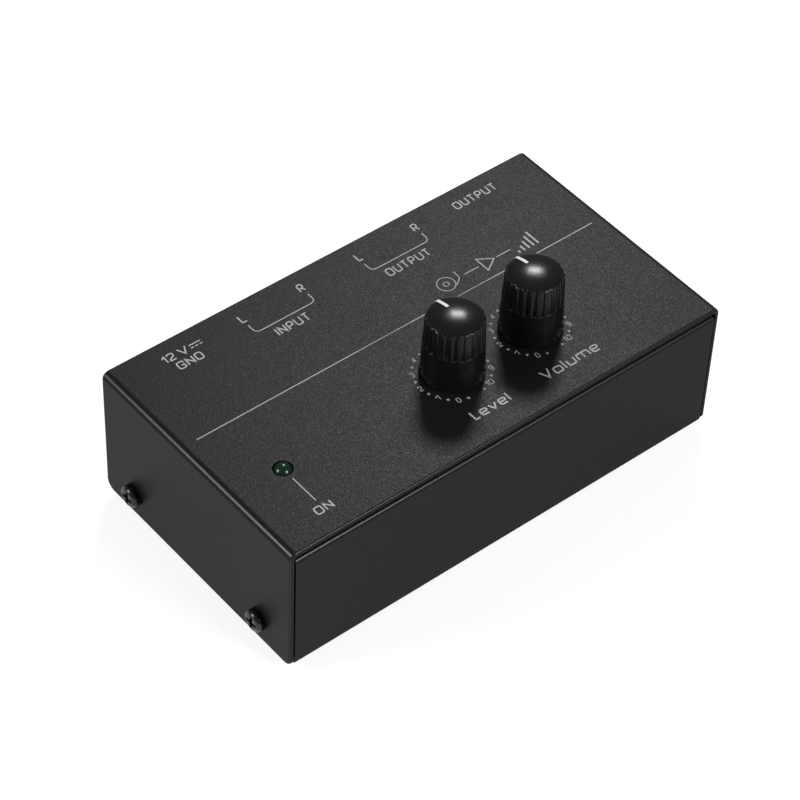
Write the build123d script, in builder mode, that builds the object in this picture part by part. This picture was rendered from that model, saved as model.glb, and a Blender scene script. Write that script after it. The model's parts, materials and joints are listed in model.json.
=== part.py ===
from build123d import *
import os
from math import asin, cos, degrees, radians, sin

# A small desktop phono preamp: a folded steel cover over a folded steel tray, one circuit board on four
# standoffs, two stereo potentiometers with tall knobs through the top, and the sockets on the rear wall.
# Millimetres. X runs along the front, Y from front to back, Z up. The origin lies on the resting plane,
# under the middle of the whole object with its rear sockets.

os.makedirs("parts", exist_ok=True)

# ------------------------------------------------------------------ case
case_width = 135.0  # over the two end flanges
case_depth = 74.4  # over the front and rear walls
case_height = 40.3  # without the feet
cover_sheet = 1.2
tray_sheet = 1.0
cover_bend_inside = 0.8
tray_bend_inside = 0.8
lip_bend_inside = 0.2
wall_round = 1.2  # of the upright ends of the front and rear walls
lip_depth = 8.0  # top lips of the front and rear walls, turned in under the cover
seam = 0.35  # shadow line between the cover and each end of the tray
top_seam = 1.5  # shadow line between the cover and the tray's lips
tray_shift = 0.15  # the tray lies this much nearer the cover's right end
flange_lift = 0.45  # the end flanges stop this far above the tray's underside
flange_rear_round = 3.0
flange_front_round = 2.0

# ------------------------------------------------------------------ feet
foot_height = 1.8
foot_radius = 5.0
foot_edge_round = 0.6
foot_inset_x = 9.0
foot_inset_y = 8.5

# ------------------------------------------------------------------ cover screws, M3 pan head
screw_spread = 50.4  # between the two screws of one end
screw_above_floor = 7.5
screw_radius = 1.5
screw_length = 6.0
screw_head_radius = 3.05
screw_head_height = 2.4
screw_hole_clearance = 0.2
thread_clearance = 0.05
tab_width = 14.0
tab_height = 13.0
tab_corner_round = 2.0
tab_collar_radius = 2.6
tab_collar_depth = 1.5
head_edge_round = 1.2
tip_chamfer = 0.4
recess_span = 3.8
recess_slot = 1.1
recess_depth = 1.5
recess_taper = 10.0

# ------------------------------------------------------------------ circuit board and what carries it
board_side_margin = 2.7  # between the tray's screw tabs and the board
board_thickness = 1.6
board_lift = 14.0  # underside of the board above the tray's underside
board_front_margin = 7.0
board_rear_margin = 0.5
board_corner_round = 1.0
board_hole_inset_x = 5.0
board_hole_inset_front = 9.0
board_hole_inset_rear = 15.6
board_hole_radius = 1.7
standoff_radius = 2.75
standoff_bore_depth = 8.0
standoff_spigot_radius = 2.0
spigot_clearance = 0.05
board_screw_length = 6.0
pin_width = 0.8  # square pins of the potentiometers and the phone jack
tail_width = 1.0  # flat tails of the phono and 12 V sockets
tail_thickness = 0.6
pin_clearance = 0.25
pin_tail = 1.5  # how far soldered pins stand out under the board

# ------------------------------------------------------------------ knobs
level_x = 0.0
control_pitch = 25.1
control_from_front = 23.25
knob_gap = 1.0  # between the cover and the knob
knob_dome_rise = 1.4
knob_base_radius = 8.1
knob_shoulder_radius = 7.35
knob_shoulder_height = 17.6
knob_shoulder_round = 1.2
knob_base_round = 0.3
flute_count = 24
flute_from = 10.0
flute_radius = 0.75
flute_depth = 0.45
flute_turn = 4.0  # of the first flute, about the knob from its X axis
knob_cavity_radius = 5.9
knob_cavity_height = 12.0
knob_boss_radius = 4.5
knob_rib_count = 3
knob_rib_width = 1.0
knob_bore_depth = 13.0
pointer_width = 0.85
pointer_inner = 2.9
pointer_depth = 1.8  # below the shoulder circle

# ------------------------------------------------------------------ stereo potentiometers
shaft_radius = 3.0
shaft_flat = 2.25  # from the shaft's axis to its D flat
shaft_end_gap = 0.5
shaft_hole_radius = 4.0
shaft_running_clearance = 0.05
press_clearance = 0.02
pot_can_radius = 8.5
pot_can_height = 12.0
pot_can_wall = 0.4
pot_shaft_floor_gap = 0.4
pot_wafer_thickness = 1.6
pot_wafer_side_gap = 0.15
pot_gang_pitch = 5.4
pot_wafer_bore_radius = 3.6
pot_rotor_radius = 6.5
pot_rotor_thickness = 1.2
pot_rotor_gap = 0.4
pot_tab_width = 13.0
pot_tab_reach = 11.6  # lower tab's far edge from the shaft's axis
pot_tab_step = 2.2  # the upper tab reaches this much further
pot_pin_inset = 1.1
pot_pin_pitch = 5.0
pot_plate_thickness = 1.6
pot_bushing_radius = 3.5
pot_bushing_height = 5.4

# ------------------------------------------------------------------ power light, a 5 mm LED on a spacer
led_inset = 15.5  # from the case's left end
led_from_front = 22.9
led_radius = 2.45
led_height = 8.6
led_rise = 1.2  # crown of the lens above the cover
led_flange_radius = 2.9
led_flange_height = 1.0
led_hole_clearance = 0.1
led_lead_pitch = 2.54
led_lead_width = 0.5
led_spacer_radius = 2.6

# ------------------------------------------------------------------ phono sockets, in pairs
rca_pitch = 18.3
input_pair_x = -20.25
output_pair_x = 16.25
rca_above_board = 9.0
rca_shell_radius = 4.15
rca_shell_wall = 0.65
rca_shell_root_step = 0.45  # the root in the housing is this much wider than the barrel
rca_shell_reach = 8.8
rca_collar_radius = 5.5
rca_collar_reach = 0.8
rca_housing_depth = 9.5
rca_housing_height = 15.0
rca_housing_margin = 5.6
rca_housing_round = 0.8
rca_contact_radius = 2.4
rca_contact_bore_radius = 1.6
rca_contact_bore_depth = 6.8
rca_contact_relief_radius = 1.95  # room for the plug's tip behind the gripping bore
rca_contact_relief_depth = 5.0
rca_insulator_recess = 0.6
rca_insulator_cap = 1.2
rca_mouth_radius = 1.8
rca_tail_step = 1.6
panel_clearance = 0.15

# ------------------------------------------------------------------ 6.35 mm phone jack
phone_jack_inset = 22.2  # from the case's right end
phone_jack_above_board = 8.5
phone_jack_width = 15.0
phone_jack_depth = 24.0
phone_jack_height = 16.5
phone_jack_wall = 1.5
phone_jack_front_wall = 5.0
phone_jack_nose_radius = 4.7
phone_jack_nose_reach = 6.0
phone_jack_bore_radius = 3.2
phone_jack_ferrule_wall = 0.5
phone_jack_ferrule_length = 5.8
phone_jack_ferrule_flange = 0.6
phone_jack_washer_radius = 7.0
phone_jack_washer_thickness = 0.8
phone_jack_nut_across_flats = 13.0
phone_jack_nut_thickness = 2.4
nut_clearance = 0.1
plug_radius = 3.175
spring_thickness = 0.4
spring_height = 3.0
spring_plug_gap = 0.1
spring_spread = 5.2  # from the jack's axis to each spring's root
spring_straight = 2.7
spring_lip = 2.0
spring_lip_spread = 4.4
ring_spring_start = 7.5  # from the inside of the rear wall
ring_spring_length = 8.0
tip_spring_start = 13.0
tip_spring_length = 8.0

# ------------------------------------------------------------------ 12 V socket
power_inset = 19.5  # from the case's left end, for the ground terminal below it too
dc_jack_above_board = 6.5
dc_jack_width = 9.0
dc_jack_depth = 14.2
dc_jack_height = 11.0
dc_jack_nose_radius = 4.2
dc_jack_nose_reach = 0.5
dc_jack_bore_radius = 3.15
dc_jack_bore_depth = 10.0
dc_jack_pin_radius = 1.05
dc_jack_pin_root_radius = 0.85
dc_jack_pin_nose = 0.5
dc_jack_pin_recess = 1.0
dc_jack_spring_width = 2.0
dc_jack_spring_length = 7.0
dc_jack_spring_back = 1.0  # from the back of the housing to the spring's foot
dc_jack_spring_rise = 0.8

# ------------------------------------------------------------------ ground terminal, M4
ground_above_floor = 8.0
ground_stud_radius = 2.0
ground_stud_reach = 13.0  # end of the stud behind the rear wall
ground_head_radius = 3.8
ground_head_height = 2.2
ground_lug_radius = 4.4
ground_lug_thickness = 0.5
ground_lug_width = 3.0
ground_nut_across_flats = 7.0
ground_nut_thickness = 2.4
ground_washer_radius = 4.5
ground_washer_thickness = 0.8
ground_thumb_radius = 5.0
ground_thumb_length = 5.5
ground_thumb_collar = 1.2
ground_thumb_collar_radius = 4.1
ground_knurl_count = 20
ground_knurl_radius = 0.45
ground_running_clearance = 0.05

# ------------------------------------------------------------------ parts on the board
op_amp_length = 9.4
op_amp_width = 6.4
op_amp_height = 3.4
op_amp_standoff = 0.6
op_amp_legs_per_side = 4
op_amp_leg_pitch = 2.54
op_amp_leg_width = 1.0
op_amp_leg_thickness = 0.35
op_amp_notch_radius = 0.9
op_amp_x = (-11.1, 16.25)
op_amp_from_front = 49.0
smoothing_cap_radius = 5.0
smoothing_cap_height = 16.0
coupling_cap_radius = 3.15
coupling_cap_height = 11.0
cap_groove_height = 1.6
cap_groove_radius = 0.5
cap_edge_round = 0.5
smoothing_cap_x = (-38.0, -27.0)
smoothing_cap_from_front = 44.0
coupling_cap_x = (-19.5, 0.5, 8.0, 27.5)
coupling_cap_from_front = 50.0
film_cap_length = 7.2
film_cap_width = 3.5
film_cap_height = 7.5
film_cap_round = 0.6
film_cap_x = (-12.0, -2.0, 8.0, 18.0)
film_cap_from_front = 40.0
resistor_length = 6.4
resistor_radius = 1.15
resistor_waist_radius = 0.9
resistor_waist_length = 3.4
axial_lead_radius = 0.3
axial_lead_pitch = 10.0
axial_lead_bend = 0.8
axial_above_board = 1.6
resistor_x = (-16.0, 42.0)
resistor_rows_from_front = (15.0, 19.5, 24.0, 28.5)
diode_x = -48.5
diode_from_front = 49.0
diode_length = 5.2
diode_radius = 1.35
regulator_x = -50.0
regulator_from_front = 40.0
regulator_width = 10.0
regulator_body_thickness = 4.5
regulator_body_height = 9.0
regulator_legs = 3
regulator_leg_length = 4.0
regulator_leg_width = 0.8
regulator_leg_thickness = 0.5
regulator_leg_pitch = 2.54
regulator_tab_height = 6.4
regulator_tab_thickness = 1.3
regulator_hole_radius = 1.85

# ------------------------------------------------------------------ places worked out from the sizes
rear_reach = ground_stud_reach
front_y = -(case_depth + rear_reach) / 2
back_y = front_y + case_depth
mid_y = (front_y + back_y) / 2
rear_inside_y = back_y - tray_sheet
floor_z = foot_height
top_z = floor_z + case_height
flange_z = floor_z + flange_lift
lip_z = top_z - cover_sheet - top_seam
tray_half = case_width / 2 - cover_sheet - seam
screw_z = floor_z + screw_above_floor

board_under_z = floor_z + board_lift
board_z = board_under_z + board_thickness
board_front_y = front_y + tray_sheet + board_front_margin
board_back_y = rear_inside_y - board_rear_margin
board_width = 2 * (tray_half - tray_sheet - board_side_margin)
board_hole_x = board_width / 2 - board_hole_inset_x
board_hole_ys = (board_front_y + board_hole_inset_front, board_back_y - board_hole_inset_rear)
board_holes = [(side * board_hole_x, y) for side in (-1, 1) for y in board_hole_ys]
pin_end_z = board_under_z - pin_tail
pin_hole_radius = tail_width / 2 + pin_clearance
axial_z = board_z + axial_above_board

knob_height = knob_shoulder_height + knob_dome_rise
control_y = front_y + control_from_front
controls = {"level": level_x, "volume": level_x + control_pitch}
knob_z = top_z + knob_gap
shaft_top_z = knob_z + knob_bore_depth - shaft_end_gap
shaft_flat_z = knob_z
led_x = led_inset - case_width / 2
led_y = front_y + led_from_front
led_z = top_z + led_rise - led_height

rca_z = board_z + rca_above_board
rca_pairs = {"input": input_pair_x, "output": output_pair_x}
rca_sides = {"left": -rca_pitch / 2, "right": rca_pitch / 2}
rca_back_y = rear_inside_y - rca_housing_depth
rca_shell_bore = rca_shell_radius - rca_shell_wall
rca_root_radius = rca_shell_radius + rca_shell_root_step
rca_shell_tail_x = (rca_root_radius + rca_shell_bore) / 2
rca_collar_y = back_y + rca_collar_reach
rca_front_y = back_y + rca_shell_reach
rca_contact_front_y = rca_front_y - rca_insulator_recess - rca_insulator_cap
rca_contact_tail_y = rca_back_y - tail_thickness - rca_tail_step
phone_jack_x = case_width / 2 - phone_jack_inset
phone_jack_z = board_z + phone_jack_above_board
phone_jack_nose_y = back_y + phone_jack_nose_reach
power_x = power_inset - case_width / 2
dc_jack_z = board_z + dc_jack_above_board
dc_jack_mouth_y = back_y + dc_jack_nose_reach
dc_jack_back_y = rear_inside_y - dc_jack_depth
ground_z = floor_z + ground_above_floor

screw_seats = [
    Plane(origin=(side * case_width / 2, mid_y + end * screw_spread / 2, screw_z), z_dir=(side, 0, 0))
    for side in (-1, 1)
    for end in (-1, 1)
]


def wall_plane(y):
    """Upright plane across the case at this depth: sketch X is X, sketch Y is Z, extrusion runs forward."""
    return Plane.XZ.offset(-y)


def place(form, seats, node):
    """Write one node: the form at each of its seats."""
    with BuildPart() as placed:
        with Locations(*seats):
            add(form)
    placed.part.label = node
    export_step(placed.part, f"parts/{node}.step")


def pan_screw(length):
    """M3 pan-head screw with a cross recess: head on z = 0, shank down."""
    with BuildPart() as screw:
        with BuildSketch(Plane.XY):
            Circle(screw_head_radius)
        extrude(amount=screw_head_height)
        fillet(screw.edges().group_by(Axis.Z)[-1], head_edge_round)
        with BuildSketch(Plane.XY):
            Circle(screw_radius)
        extrude(amount=-length)
        chamfer(screw.edges().group_by(Axis.Z)[0], tip_chamfer)
        with BuildSketch(Plane.XY.offset(screw_head_height)):
            Rectangle(recess_span, recess_slot)
            Rectangle(recess_slot, recess_span)
        extrude(amount=-recess_depth, taper=recess_taper, mode=Mode.SUBTRACT)
    return screw.part


# ================================================================== casing
# Cover: one sheet folded down over both ends, with the holes for shafts, light and screws.
with BuildPart() as top_cover:
    fold_x = (case_width - cover_sheet) / 2
    fold_z = top_z - cover_sheet / 2
    with BuildSketch(wall_plane(mid_y)):
        with BuildLine():
            FilletPolyline(
                (-fold_x, flange_z),
                (-fold_x, fold_z),
                (fold_x, fold_z),
                (fold_x, flange_z),
                radius=cover_bend_inside + cover_sheet / 2,
            )
        trace(line_width=cover_sheet)
    extrude(amount=case_depth / 2, both=True)
    flange_corners = top_cover.edges().filter_by(Axis.X).group_by(Axis.Z)[0]
    fillet(flange_corners.group_by(Axis.Y)[0], flange_front_round)
    flange_corners = top_cover.edges().filter_by(Axis.X).group_by(Axis.Z)[0]
    fillet(flange_corners.group_by(Axis.Y)[-1], flange_rear_round)
    with BuildSketch(Plane.XY.offset(top_z)):
        with Locations(*[(x, control_y) for x in controls.values()]):
            Circle(shaft_hole_radius)
        with Locations((led_x, led_y)):
            Circle(led_radius + led_hole_clearance)
    extrude(amount=-cover_sheet, mode=Mode.SUBTRACT)
    for seat in screw_seats:
        with BuildSketch(seat):
            Circle(screw_radius + screw_hole_clearance)
        extrude(amount=-cover_sheet, mode=Mode.SUBTRACT)
top_cover.part.label = "top_cover"
export_step(top_cover.part, "parts/top_cover.step")

# Tray: floor, front and rear walls and their top lips folded from one sheet, its four corners rounded in
# plan, with two screw tabs per end.
with BuildPart() as base_tray:
    fold_front_y = front_y + tray_sheet / 2
    fold_back_y = back_y - tray_sheet / 2
    fold_floor_z = floor_z + tray_sheet / 2
    fold_lip_z = lip_z - tray_sheet / 2
    lip_run = lip_depth - tray_sheet / 2
    with BuildSketch(Plane.YZ.offset(tray_shift)):
        with BuildLine():
            FilletPolyline(
                (fold_front_y + lip_run, fold_lip_z),
                (fold_front_y, fold_lip_z),
                (fold_front_y, fold_floor_z),
                (fold_back_y, fold_floor_z),
                (fold_back_y, fold_lip_z),
                (fold_back_y - lip_run, fold_lip_z),
                radius=[
                    lip_bend_inside + tray_sheet / 2,
                    tray_bend_inside + tray_sheet / 2,
                    tray_bend_inside + tray_sheet / 2,
                    lip_bend_inside + tray_sheet / 2,
                ],
            )
        trace(line_width=tray_sheet)
    extrude(amount=tray_half, both=True)
    with BuildSketch(Plane.XY.offset(floor_z)):
        with Locations((tray_shift, mid_y)):
            RectangleRounded(2 * tray_half, case_depth, wall_round)
    extrude(amount=case_height, mode=Mode.INTERSECT)
    for side in (-1, 1):
        tab_plane = Plane.YZ.offset(tray_shift + side * tray_half)
        with BuildSketch(tab_plane) as tabs:
            with Locations(*[(mid_y + end * screw_spread / 2, floor_z + tab_height / 2) for end in (-1, 1)]):
                Rectangle(tab_width, tab_height)
            fillet(tabs.vertices().group_by(Axis.Y)[-1], tab_corner_round)
        extrude(amount=-side * tray_sheet)
        with BuildSketch(tab_plane):
            with Locations(*[(mid_y + end * screw_spread / 2, screw_z) for end in (-1, 1)]):
                Circle(tab_collar_radius)
        extrude(amount=-side * (tray_sheet + tab_collar_depth))
        with BuildSketch(tab_plane):
            with Locations(*[(mid_y + end * screw_spread / 2, screw_z) for end in (-1, 1)]):
                Circle(screw_radius + thread_clearance)
        extrude(amount=-side * (tray_sheet + tab_collar_depth), mode=Mode.SUBTRACT)
    with BuildSketch(Plane.XY.offset(floor_z)):
        with Locations(*board_holes):
            Circle(standoff_spigot_radius + spigot_clearance)
    extrude(amount=tray_sheet, mode=Mode.SUBTRACT)
    with BuildSketch(wall_plane(back_y)):
        with Locations(*[(pair + side, rca_z) for pair in rca_pairs.values() for side in rca_sides.values()]):
            Circle(rca_collar_radius + panel_clearance)
        with Locations((phone_jack_x, phone_jack_z)):
            Circle(phone_jack_nose_radius + panel_clearance)
        with Locations((power_x, dc_jack_z)):
            Circle(dc_jack_nose_radius + panel_clearance)
        with Locations((power_x, ground_z)):
            Circle(ground_stud_radius + panel_clearance)
    extrude(amount=tray_sheet, mode=Mode.SUBTRACT)
base_tray.part.label = "base_tray"
export_step(base_tray.part, "parts/base_tray.step")

place(pan_screw(screw_length), screw_seats, "cover_screws")

# Rubber feet: low discs with a rounded lower edge, stuck under the tray's corners.
with BuildPart() as rubber_feet:
    foot_x = case_width / 2 - foot_inset_x
    foot_y = case_depth / 2 - foot_inset_y
    with BuildSketch(Plane.XY):
        with Locations(*[(sx * foot_x, mid_y + sy * foot_y) for sx in (-1, 1) for sy in (-1, 1)]):
            Circle(foot_radius)
    extrude(amount=foot_height)
    fillet(rubber_feet.edges().group_by(Axis.Z)[0], foot_edge_round)
rubber_feet.part.label = "rubber_feet"
export_step(rubber_feet.part, "parts/rubber_feet.step")

# ================================================================== board carriers
with BuildPart() as board_standoffs:
    with BuildSketch(Plane.XY.offset(floor_z + tray_sheet)):
        with Locations(*board_holes):
            RegularPolygon(standoff_radius, side_count=6, major_radius=False)
    extrude(amount=board_lift - tray_sheet)
    with BuildSketch(Plane.XY.offset(floor_z)):
        with Locations(*board_holes):
            Circle(standoff_spigot_radius)
    extrude(amount=tray_sheet)
    with BuildSketch(Plane.XY.offset(board_under_z)):
        with Locations(*board_holes):
            Circle(screw_radius + thread_clearance)
    extrude(amount=-standoff_bore_depth, mode=Mode.SUBTRACT)
board_standoffs.part.label = "board_standoffs"
export_step(board_standoffs.part, "parts/board_standoffs.step")

place(pan_screw(board_screw_length), [(x, y, board_z) for x, y in board_holes], "board_screws")

# ================================================================== knobs
# The blank is the knob's outer form: a drafted skirt, a rounded shoulder and a low domed top.
with BuildPart() as knob_blank:
    dome_rise = knob_height - knob_shoulder_height
    dome_radius = (knob_shoulder_radius**2 + dome_rise**2) / (2 * dome_rise)
    dome_angle = degrees(asin(knob_shoulder_radius / dome_radius))
    with BuildSketch(Plane.XZ):
        with BuildLine():
            Polyline(
                (0, knob_height),
                (0, 0),
                (knob_base_radius, 0),
                (knob_shoulder_radius, knob_shoulder_height),
            )
            CenterArc((0, knob_height - dome_radius), dome_radius, 90 - dome_angle, dome_angle)
        make_face()
    revolve(axis=Axis.Z)
    rims = knob_blank.edges().filter_by(GeomType.CIRCLE)
    fillet(rims.filter_by_position(Axis.Z, knob_shoulder_height, knob_shoulder_height), knob_shoulder_round)
    rims = knob_blank.edges().filter_by(GeomType.CIRCLE)
    fillet(rims.filter_by_position(Axis.Z, 0, 0), knob_base_round)

# One flute is a round cut that leans in with the skirt's draft, so its depth stays the same.
skirt_draft = (knob_base_radius - knob_shoulder_radius) / knob_shoulder_height
with BuildPart() as flute_cut:
    with Locations(Location((0, 0, 0), (0, -degrees(skirt_draft), 0))):
        Cylinder(flute_radius, knob_height, align=(Align.CENTER, Align.CENTER, Align.MIN))

pointer_reach = knob_base_radius - pointer_inner
pointer_slot = Box(
    pointer_width,
    pointer_reach,
    knob_height,
    align=(Align.CENTER, Align.MIN, Align.MIN),
    mode=Mode.PRIVATE,
)

with BuildPart() as knob:
    add(knob_blank.part)
    flute_axis_radius = knob_base_radius - skirt_draft * flute_from + flute_radius - flute_depth
    with Locations((0, 0, flute_from)):
        with PolarLocations(flute_axis_radius, flute_count, start_angle=flute_turn):
            add(flute_cut.part, mode=Mode.SUBTRACT)
    with BuildSketch(Plane.XY):
        Circle(knob_cavity_radius)
        Circle(knob_boss_radius, mode=Mode.SUBTRACT)
        with PolarLocations((knob_boss_radius + knob_cavity_radius) / 2, knob_rib_count):
            Rectangle(knob_cavity_radius, knob_rib_width, mode=Mode.SUBTRACT)
    extrude(amount=knob_cavity_height, mode=Mode.SUBTRACT)
    with BuildSketch(Plane.XY):
        Circle(shaft_radius + press_clearance)
        with Locations((0, -shaft_flat - press_clearance - shaft_radius)):
            Rectangle(2 * knob_boss_radius, 2 * shaft_radius, mode=Mode.SUBTRACT)
    extrude(amount=knob_bore_depth, mode=Mode.SUBTRACT)
    with Locations((0, pointer_inner, knob_shoulder_height - pointer_depth)):
        add(pointer_slot, mode=Mode.SUBTRACT)

# The pointer is a white inlay that fills the slot up to the knob's own surface.
with BuildPart() as pointer:
    add(knob_blank.part)
    with Locations((0, pointer_inner, knob_shoulder_height - pointer_depth)):
        add(pointer_slot, mode=Mode.INTERSECT)

# ================================================================== stereo potentiometers
wafer_tops = [board_z + pot_can_height - gang * pot_gang_pitch for gang in (0, 1)]
tab_reaches = [pot_tab_reach + pot_tab_step, pot_tab_reach]
pin_rows = [pot_pin_inset - reach for reach in tab_reaches]
pot_pins = [(column * pot_pin_pitch, row) for row in pin_rows for column in (-1, 0, 1)]

# Can: a thin steel cup on the board, notched where the wafers' tabs come out.
with BuildPart() as pot_can:
    with BuildSketch(Plane.XY.offset(board_z)):
        Circle(pot_can_radius)
    extrude(amount=pot_can_height)
    with BuildSketch(Plane.XY.offset(board_z + pot_can_wall)):
        Circle(pot_can_radius - pot_can_wall)
    extrude(amount=pot_can_height - pot_can_wall, mode=Mode.SUBTRACT)
    for wafer_top in wafer_tops:
        with BuildSketch(Plane.XY.offset(wafer_top)):
            with Locations((0, -pot_can_radius)):
                Rectangle(pot_tab_width + 2 * pot_wafer_side_gap, pot_can_radius)
        extrude(amount=-pot_wafer_thickness - pot_wafer_side_gap, mode=Mode.SUBTRACT)

# Wafers: one phenolic track plate per channel, each with a tab for its three pins.
with BuildPart() as pot_wafers:
    for wafer_top, reach, row in zip(wafer_tops, tab_reaches, pin_rows):
        with BuildSketch(Plane.XY.offset(wafer_top)):
            Circle(pot_can_radius - pot_can_wall - pot_wafer_side_gap)
            with Locations((0, -reach / 2)):
                Rectangle(pot_tab_width, reach)
            Circle(pot_wafer_bore_radius, mode=Mode.SUBTRACT)
            with Locations(*[(column * pot_pin_pitch, row) for column in (-1, 0, 1)]):
                Rectangle(pin_width, pin_width, mode=Mode.SUBTRACT)
        extrude(amount=-pot_wafer_thickness)

# Pins: square legs from each wafer's top face down through the board. The upper row clears the lower tab.
with BuildPart() as pot_leads:
    for wafer_top, row in zip(wafer_tops, pin_rows):
        with BuildSketch(Plane.XY.offset(wafer_top)):
            with Locations(*[(column * pot_pin_pitch, row) for column in (-1, 0, 1)]):
                Rectangle(pin_width, pin_width)
        extrude(amount=pin_end_z - wafer_top)

# Bushing: die-cast cover plate with the threaded neck that guides the shaft.
with BuildPart() as pot_bushing:
    with BuildSketch(Plane.XY.offset(board_z + pot_can_height)):
        Circle(pot_can_radius)
    extrude(amount=pot_plate_thickness)
    with BuildSketch(Plane.XY.offset(board_z + pot_can_height + pot_plate_thickness)):
        Circle(pot_bushing_radius)
    extrude(amount=pot_bushing_height)
    with BuildSketch(Plane.XY.offset(board_z + pot_can_height)):
        Circle(shaft_radius + shaft_running_clearance)
    extrude(amount=pot_plate_thickness + pot_bushing_height, mode=Mode.SUBTRACT)

# Shaft: D-flatted spindle with one wiper disc under each wafer.
with BuildPart() as pot_shaft:
    shaft_foot_z = board_z + pot_can_wall + pot_shaft_floor_gap
    with BuildSketch(Plane.XY.offset(shaft_foot_z)):
        Circle(shaft_radius)
    extrude(amount=shaft_top_z - shaft_foot_z)
    for wafer_top in wafer_tops:
        with BuildSketch(Plane.XY.offset(wafer_top - pot_wafer_thickness - pot_rotor_gap)):
            Circle(pot_rotor_radius)
        extrude(amount=-pot_rotor_thickness)
    with BuildSketch(Plane.XY.offset(shaft_top_z)):
        with Locations((0, -shaft_flat - shaft_radius)):
            Rectangle(2 * shaft_radius, 2 * shaft_radius)
    extrude(amount=shaft_flat_z - shaft_top_z, mode=Mode.SUBTRACT)

for control, control_x in controls.items():
    on_board = [(control_x, control_y, 0)]
    on_cover = [(control_x, control_y, knob_z)]
    place(knob.part, on_cover, f"{control}_knob")
    place(pointer.part, on_cover, f"{control}_pointer")
    place(pot_shaft.part, on_board, f"{control}_shaft")
    place(pot_bushing.part, on_board, f"{control}_bushing")
    place(pot_can.part, on_board, f"{control}_pot_can")
    place(pot_wafers.part, on_board, f"{control}_pot_wafers")
    place(pot_leads.part, on_board, f"{control}_pot_pins")

# ================================================================== power light
led_lead_xs = [led_x + side * led_lead_pitch / 2 for side in (-1, 1)]

# Lens: domed epoxy body with the small flange at its foot.
with BuildPart() as power_led:
    with BuildSketch(Plane.XY.offset(led_z)):
        with Locations((led_x, led_y)):
            Circle(led_flange_radius)
    extrude(amount=led_flange_height)
    with BuildSketch(Plane.XY.offset(led_z)):
        with Locations((led_x, led_y)):
            Circle(led_radius)
    extrude(amount=led_height - led_radius)
    with Locations((led_x, led_y, led_z + led_height - led_radius)):
        Sphere(led_radius)
power_led.part.label = "power_led"
export_step(power_led.part, "parts/power_led.step")

with BuildPart() as led_leads:
    with BuildSketch(Plane.XY.offset(led_z)):
        with Locations(*[(x, led_y) for x in led_lead_xs]):
            Rectangle(led_lead_width, led_lead_width)
    extrude(amount=pin_end_z - led_z)
led_leads.part.label = "led_leads"
export_step(led_leads.part, "parts/led_leads.step")

with BuildPart() as led_spacer:
    with BuildSketch(Plane.XY.offset(board_z)):
        with Locations((led_x, led_y)):
            Circle(led_spacer_radius)
        with Locations(*[(x, led_y) for x in led_lead_xs]):
            Circle(led_lead_width, mode=Mode.SUBTRACT)
    extrude(amount=led_z - board_z)
led_spacer.part.label = "led_spacer"
export_step(led_spacer.part, "parts/led_spacer.step")

# ================================================================== phono sockets
# Housing: one moulded block per pair, with a round collar through the rear wall for each socket.
with BuildPart() as rca_housing:
    with BuildSketch(wall_plane(rear_inside_y)) as block:
        with Locations((0, board_z + rca_housing_height / 2)):
            Rectangle(rca_pitch + 2 * rca_housing_margin, rca_housing_height)
        fillet(block.vertices().group_by(Axis.Y)[-1], rca_housing_round)
    extrude(amount=rca_housing_depth)
    with BuildSketch(wall_plane(rear_inside_y)):
        with Locations(*[(side, rca_z) for side in rca_sides.values()]):
            Circle(rca_collar_radius)
    extrude(amount=rear_inside_y - rca_collar_y)
    with BuildSketch(wall_plane(rca_back_y)):
        with Locations(*[(side, rca_z) for side in rca_sides.values()]):
            Circle(rca_root_radius + press_clearance)
    extrude(amount=rca_back_y - rca_collar_y, mode=Mode.SUBTRACT)

# Shell: the outer contact, a barrel on a wider root in the housing, with a solder tail behind it.
with BuildPart() as rca_shell:
    shell_back_y = rca_back_y - tail_thickness
    with BuildSketch(wall_plane(rca_front_y)):
        with Locations((0, rca_z)):
            Circle(rca_shell_radius)
    extrude(amount=rca_front_y - rca_collar_y)
    with BuildSketch(wall_plane(rca_collar_y)):
        with Locations((0, rca_z)):
            Circle(rca_root_radius)
    extrude(amount=rca_collar_y - shell_back_y)
    with BuildSketch(wall_plane(rca_back_y)):
        with Locations((rca_shell_tail_x, (rca_z + pin_end_z) / 2)):
            Rectangle(rca_root_radius - rca_shell_bore, rca_z - pin_end_z)
    extrude(amount=tail_thickness)
    with BuildSketch(wall_plane(rca_front_y)):
        with Locations((0, rca_z)):
            Circle(rca_shell_bore)
    extrude(amount=rca_front_y - shell_back_y, mode=Mode.SUBTRACT)

# Insulator: the coloured plug inside the barrel, with a small round mouth in front of the contact.
with BuildPart() as rca_insulator:
    insulator_front_y = rca_front_y - rca_insulator_recess
    with BuildSketch(wall_plane(insulator_front_y)):
        with Locations((0, rca_z)):
            Circle(rca_shell_bore - press_clearance)
    extrude(amount=insulator_front_y - rca_back_y)
    with BuildSketch(wall_plane(rca_contact_front_y)):
        with Locations((0, rca_z)):
            Circle(rca_contact_radius + press_clearance)
    extrude(amount=rca_contact_front_y - rca_back_y, mode=Mode.SUBTRACT)
    with BuildSketch(wall_plane(insulator_front_y)):
        with Locations((0, rca_z)):
            Circle(rca_mouth_radius)
    extrude(amount=rca_insulator_cap, mode=Mode.SUBTRACT)

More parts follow.
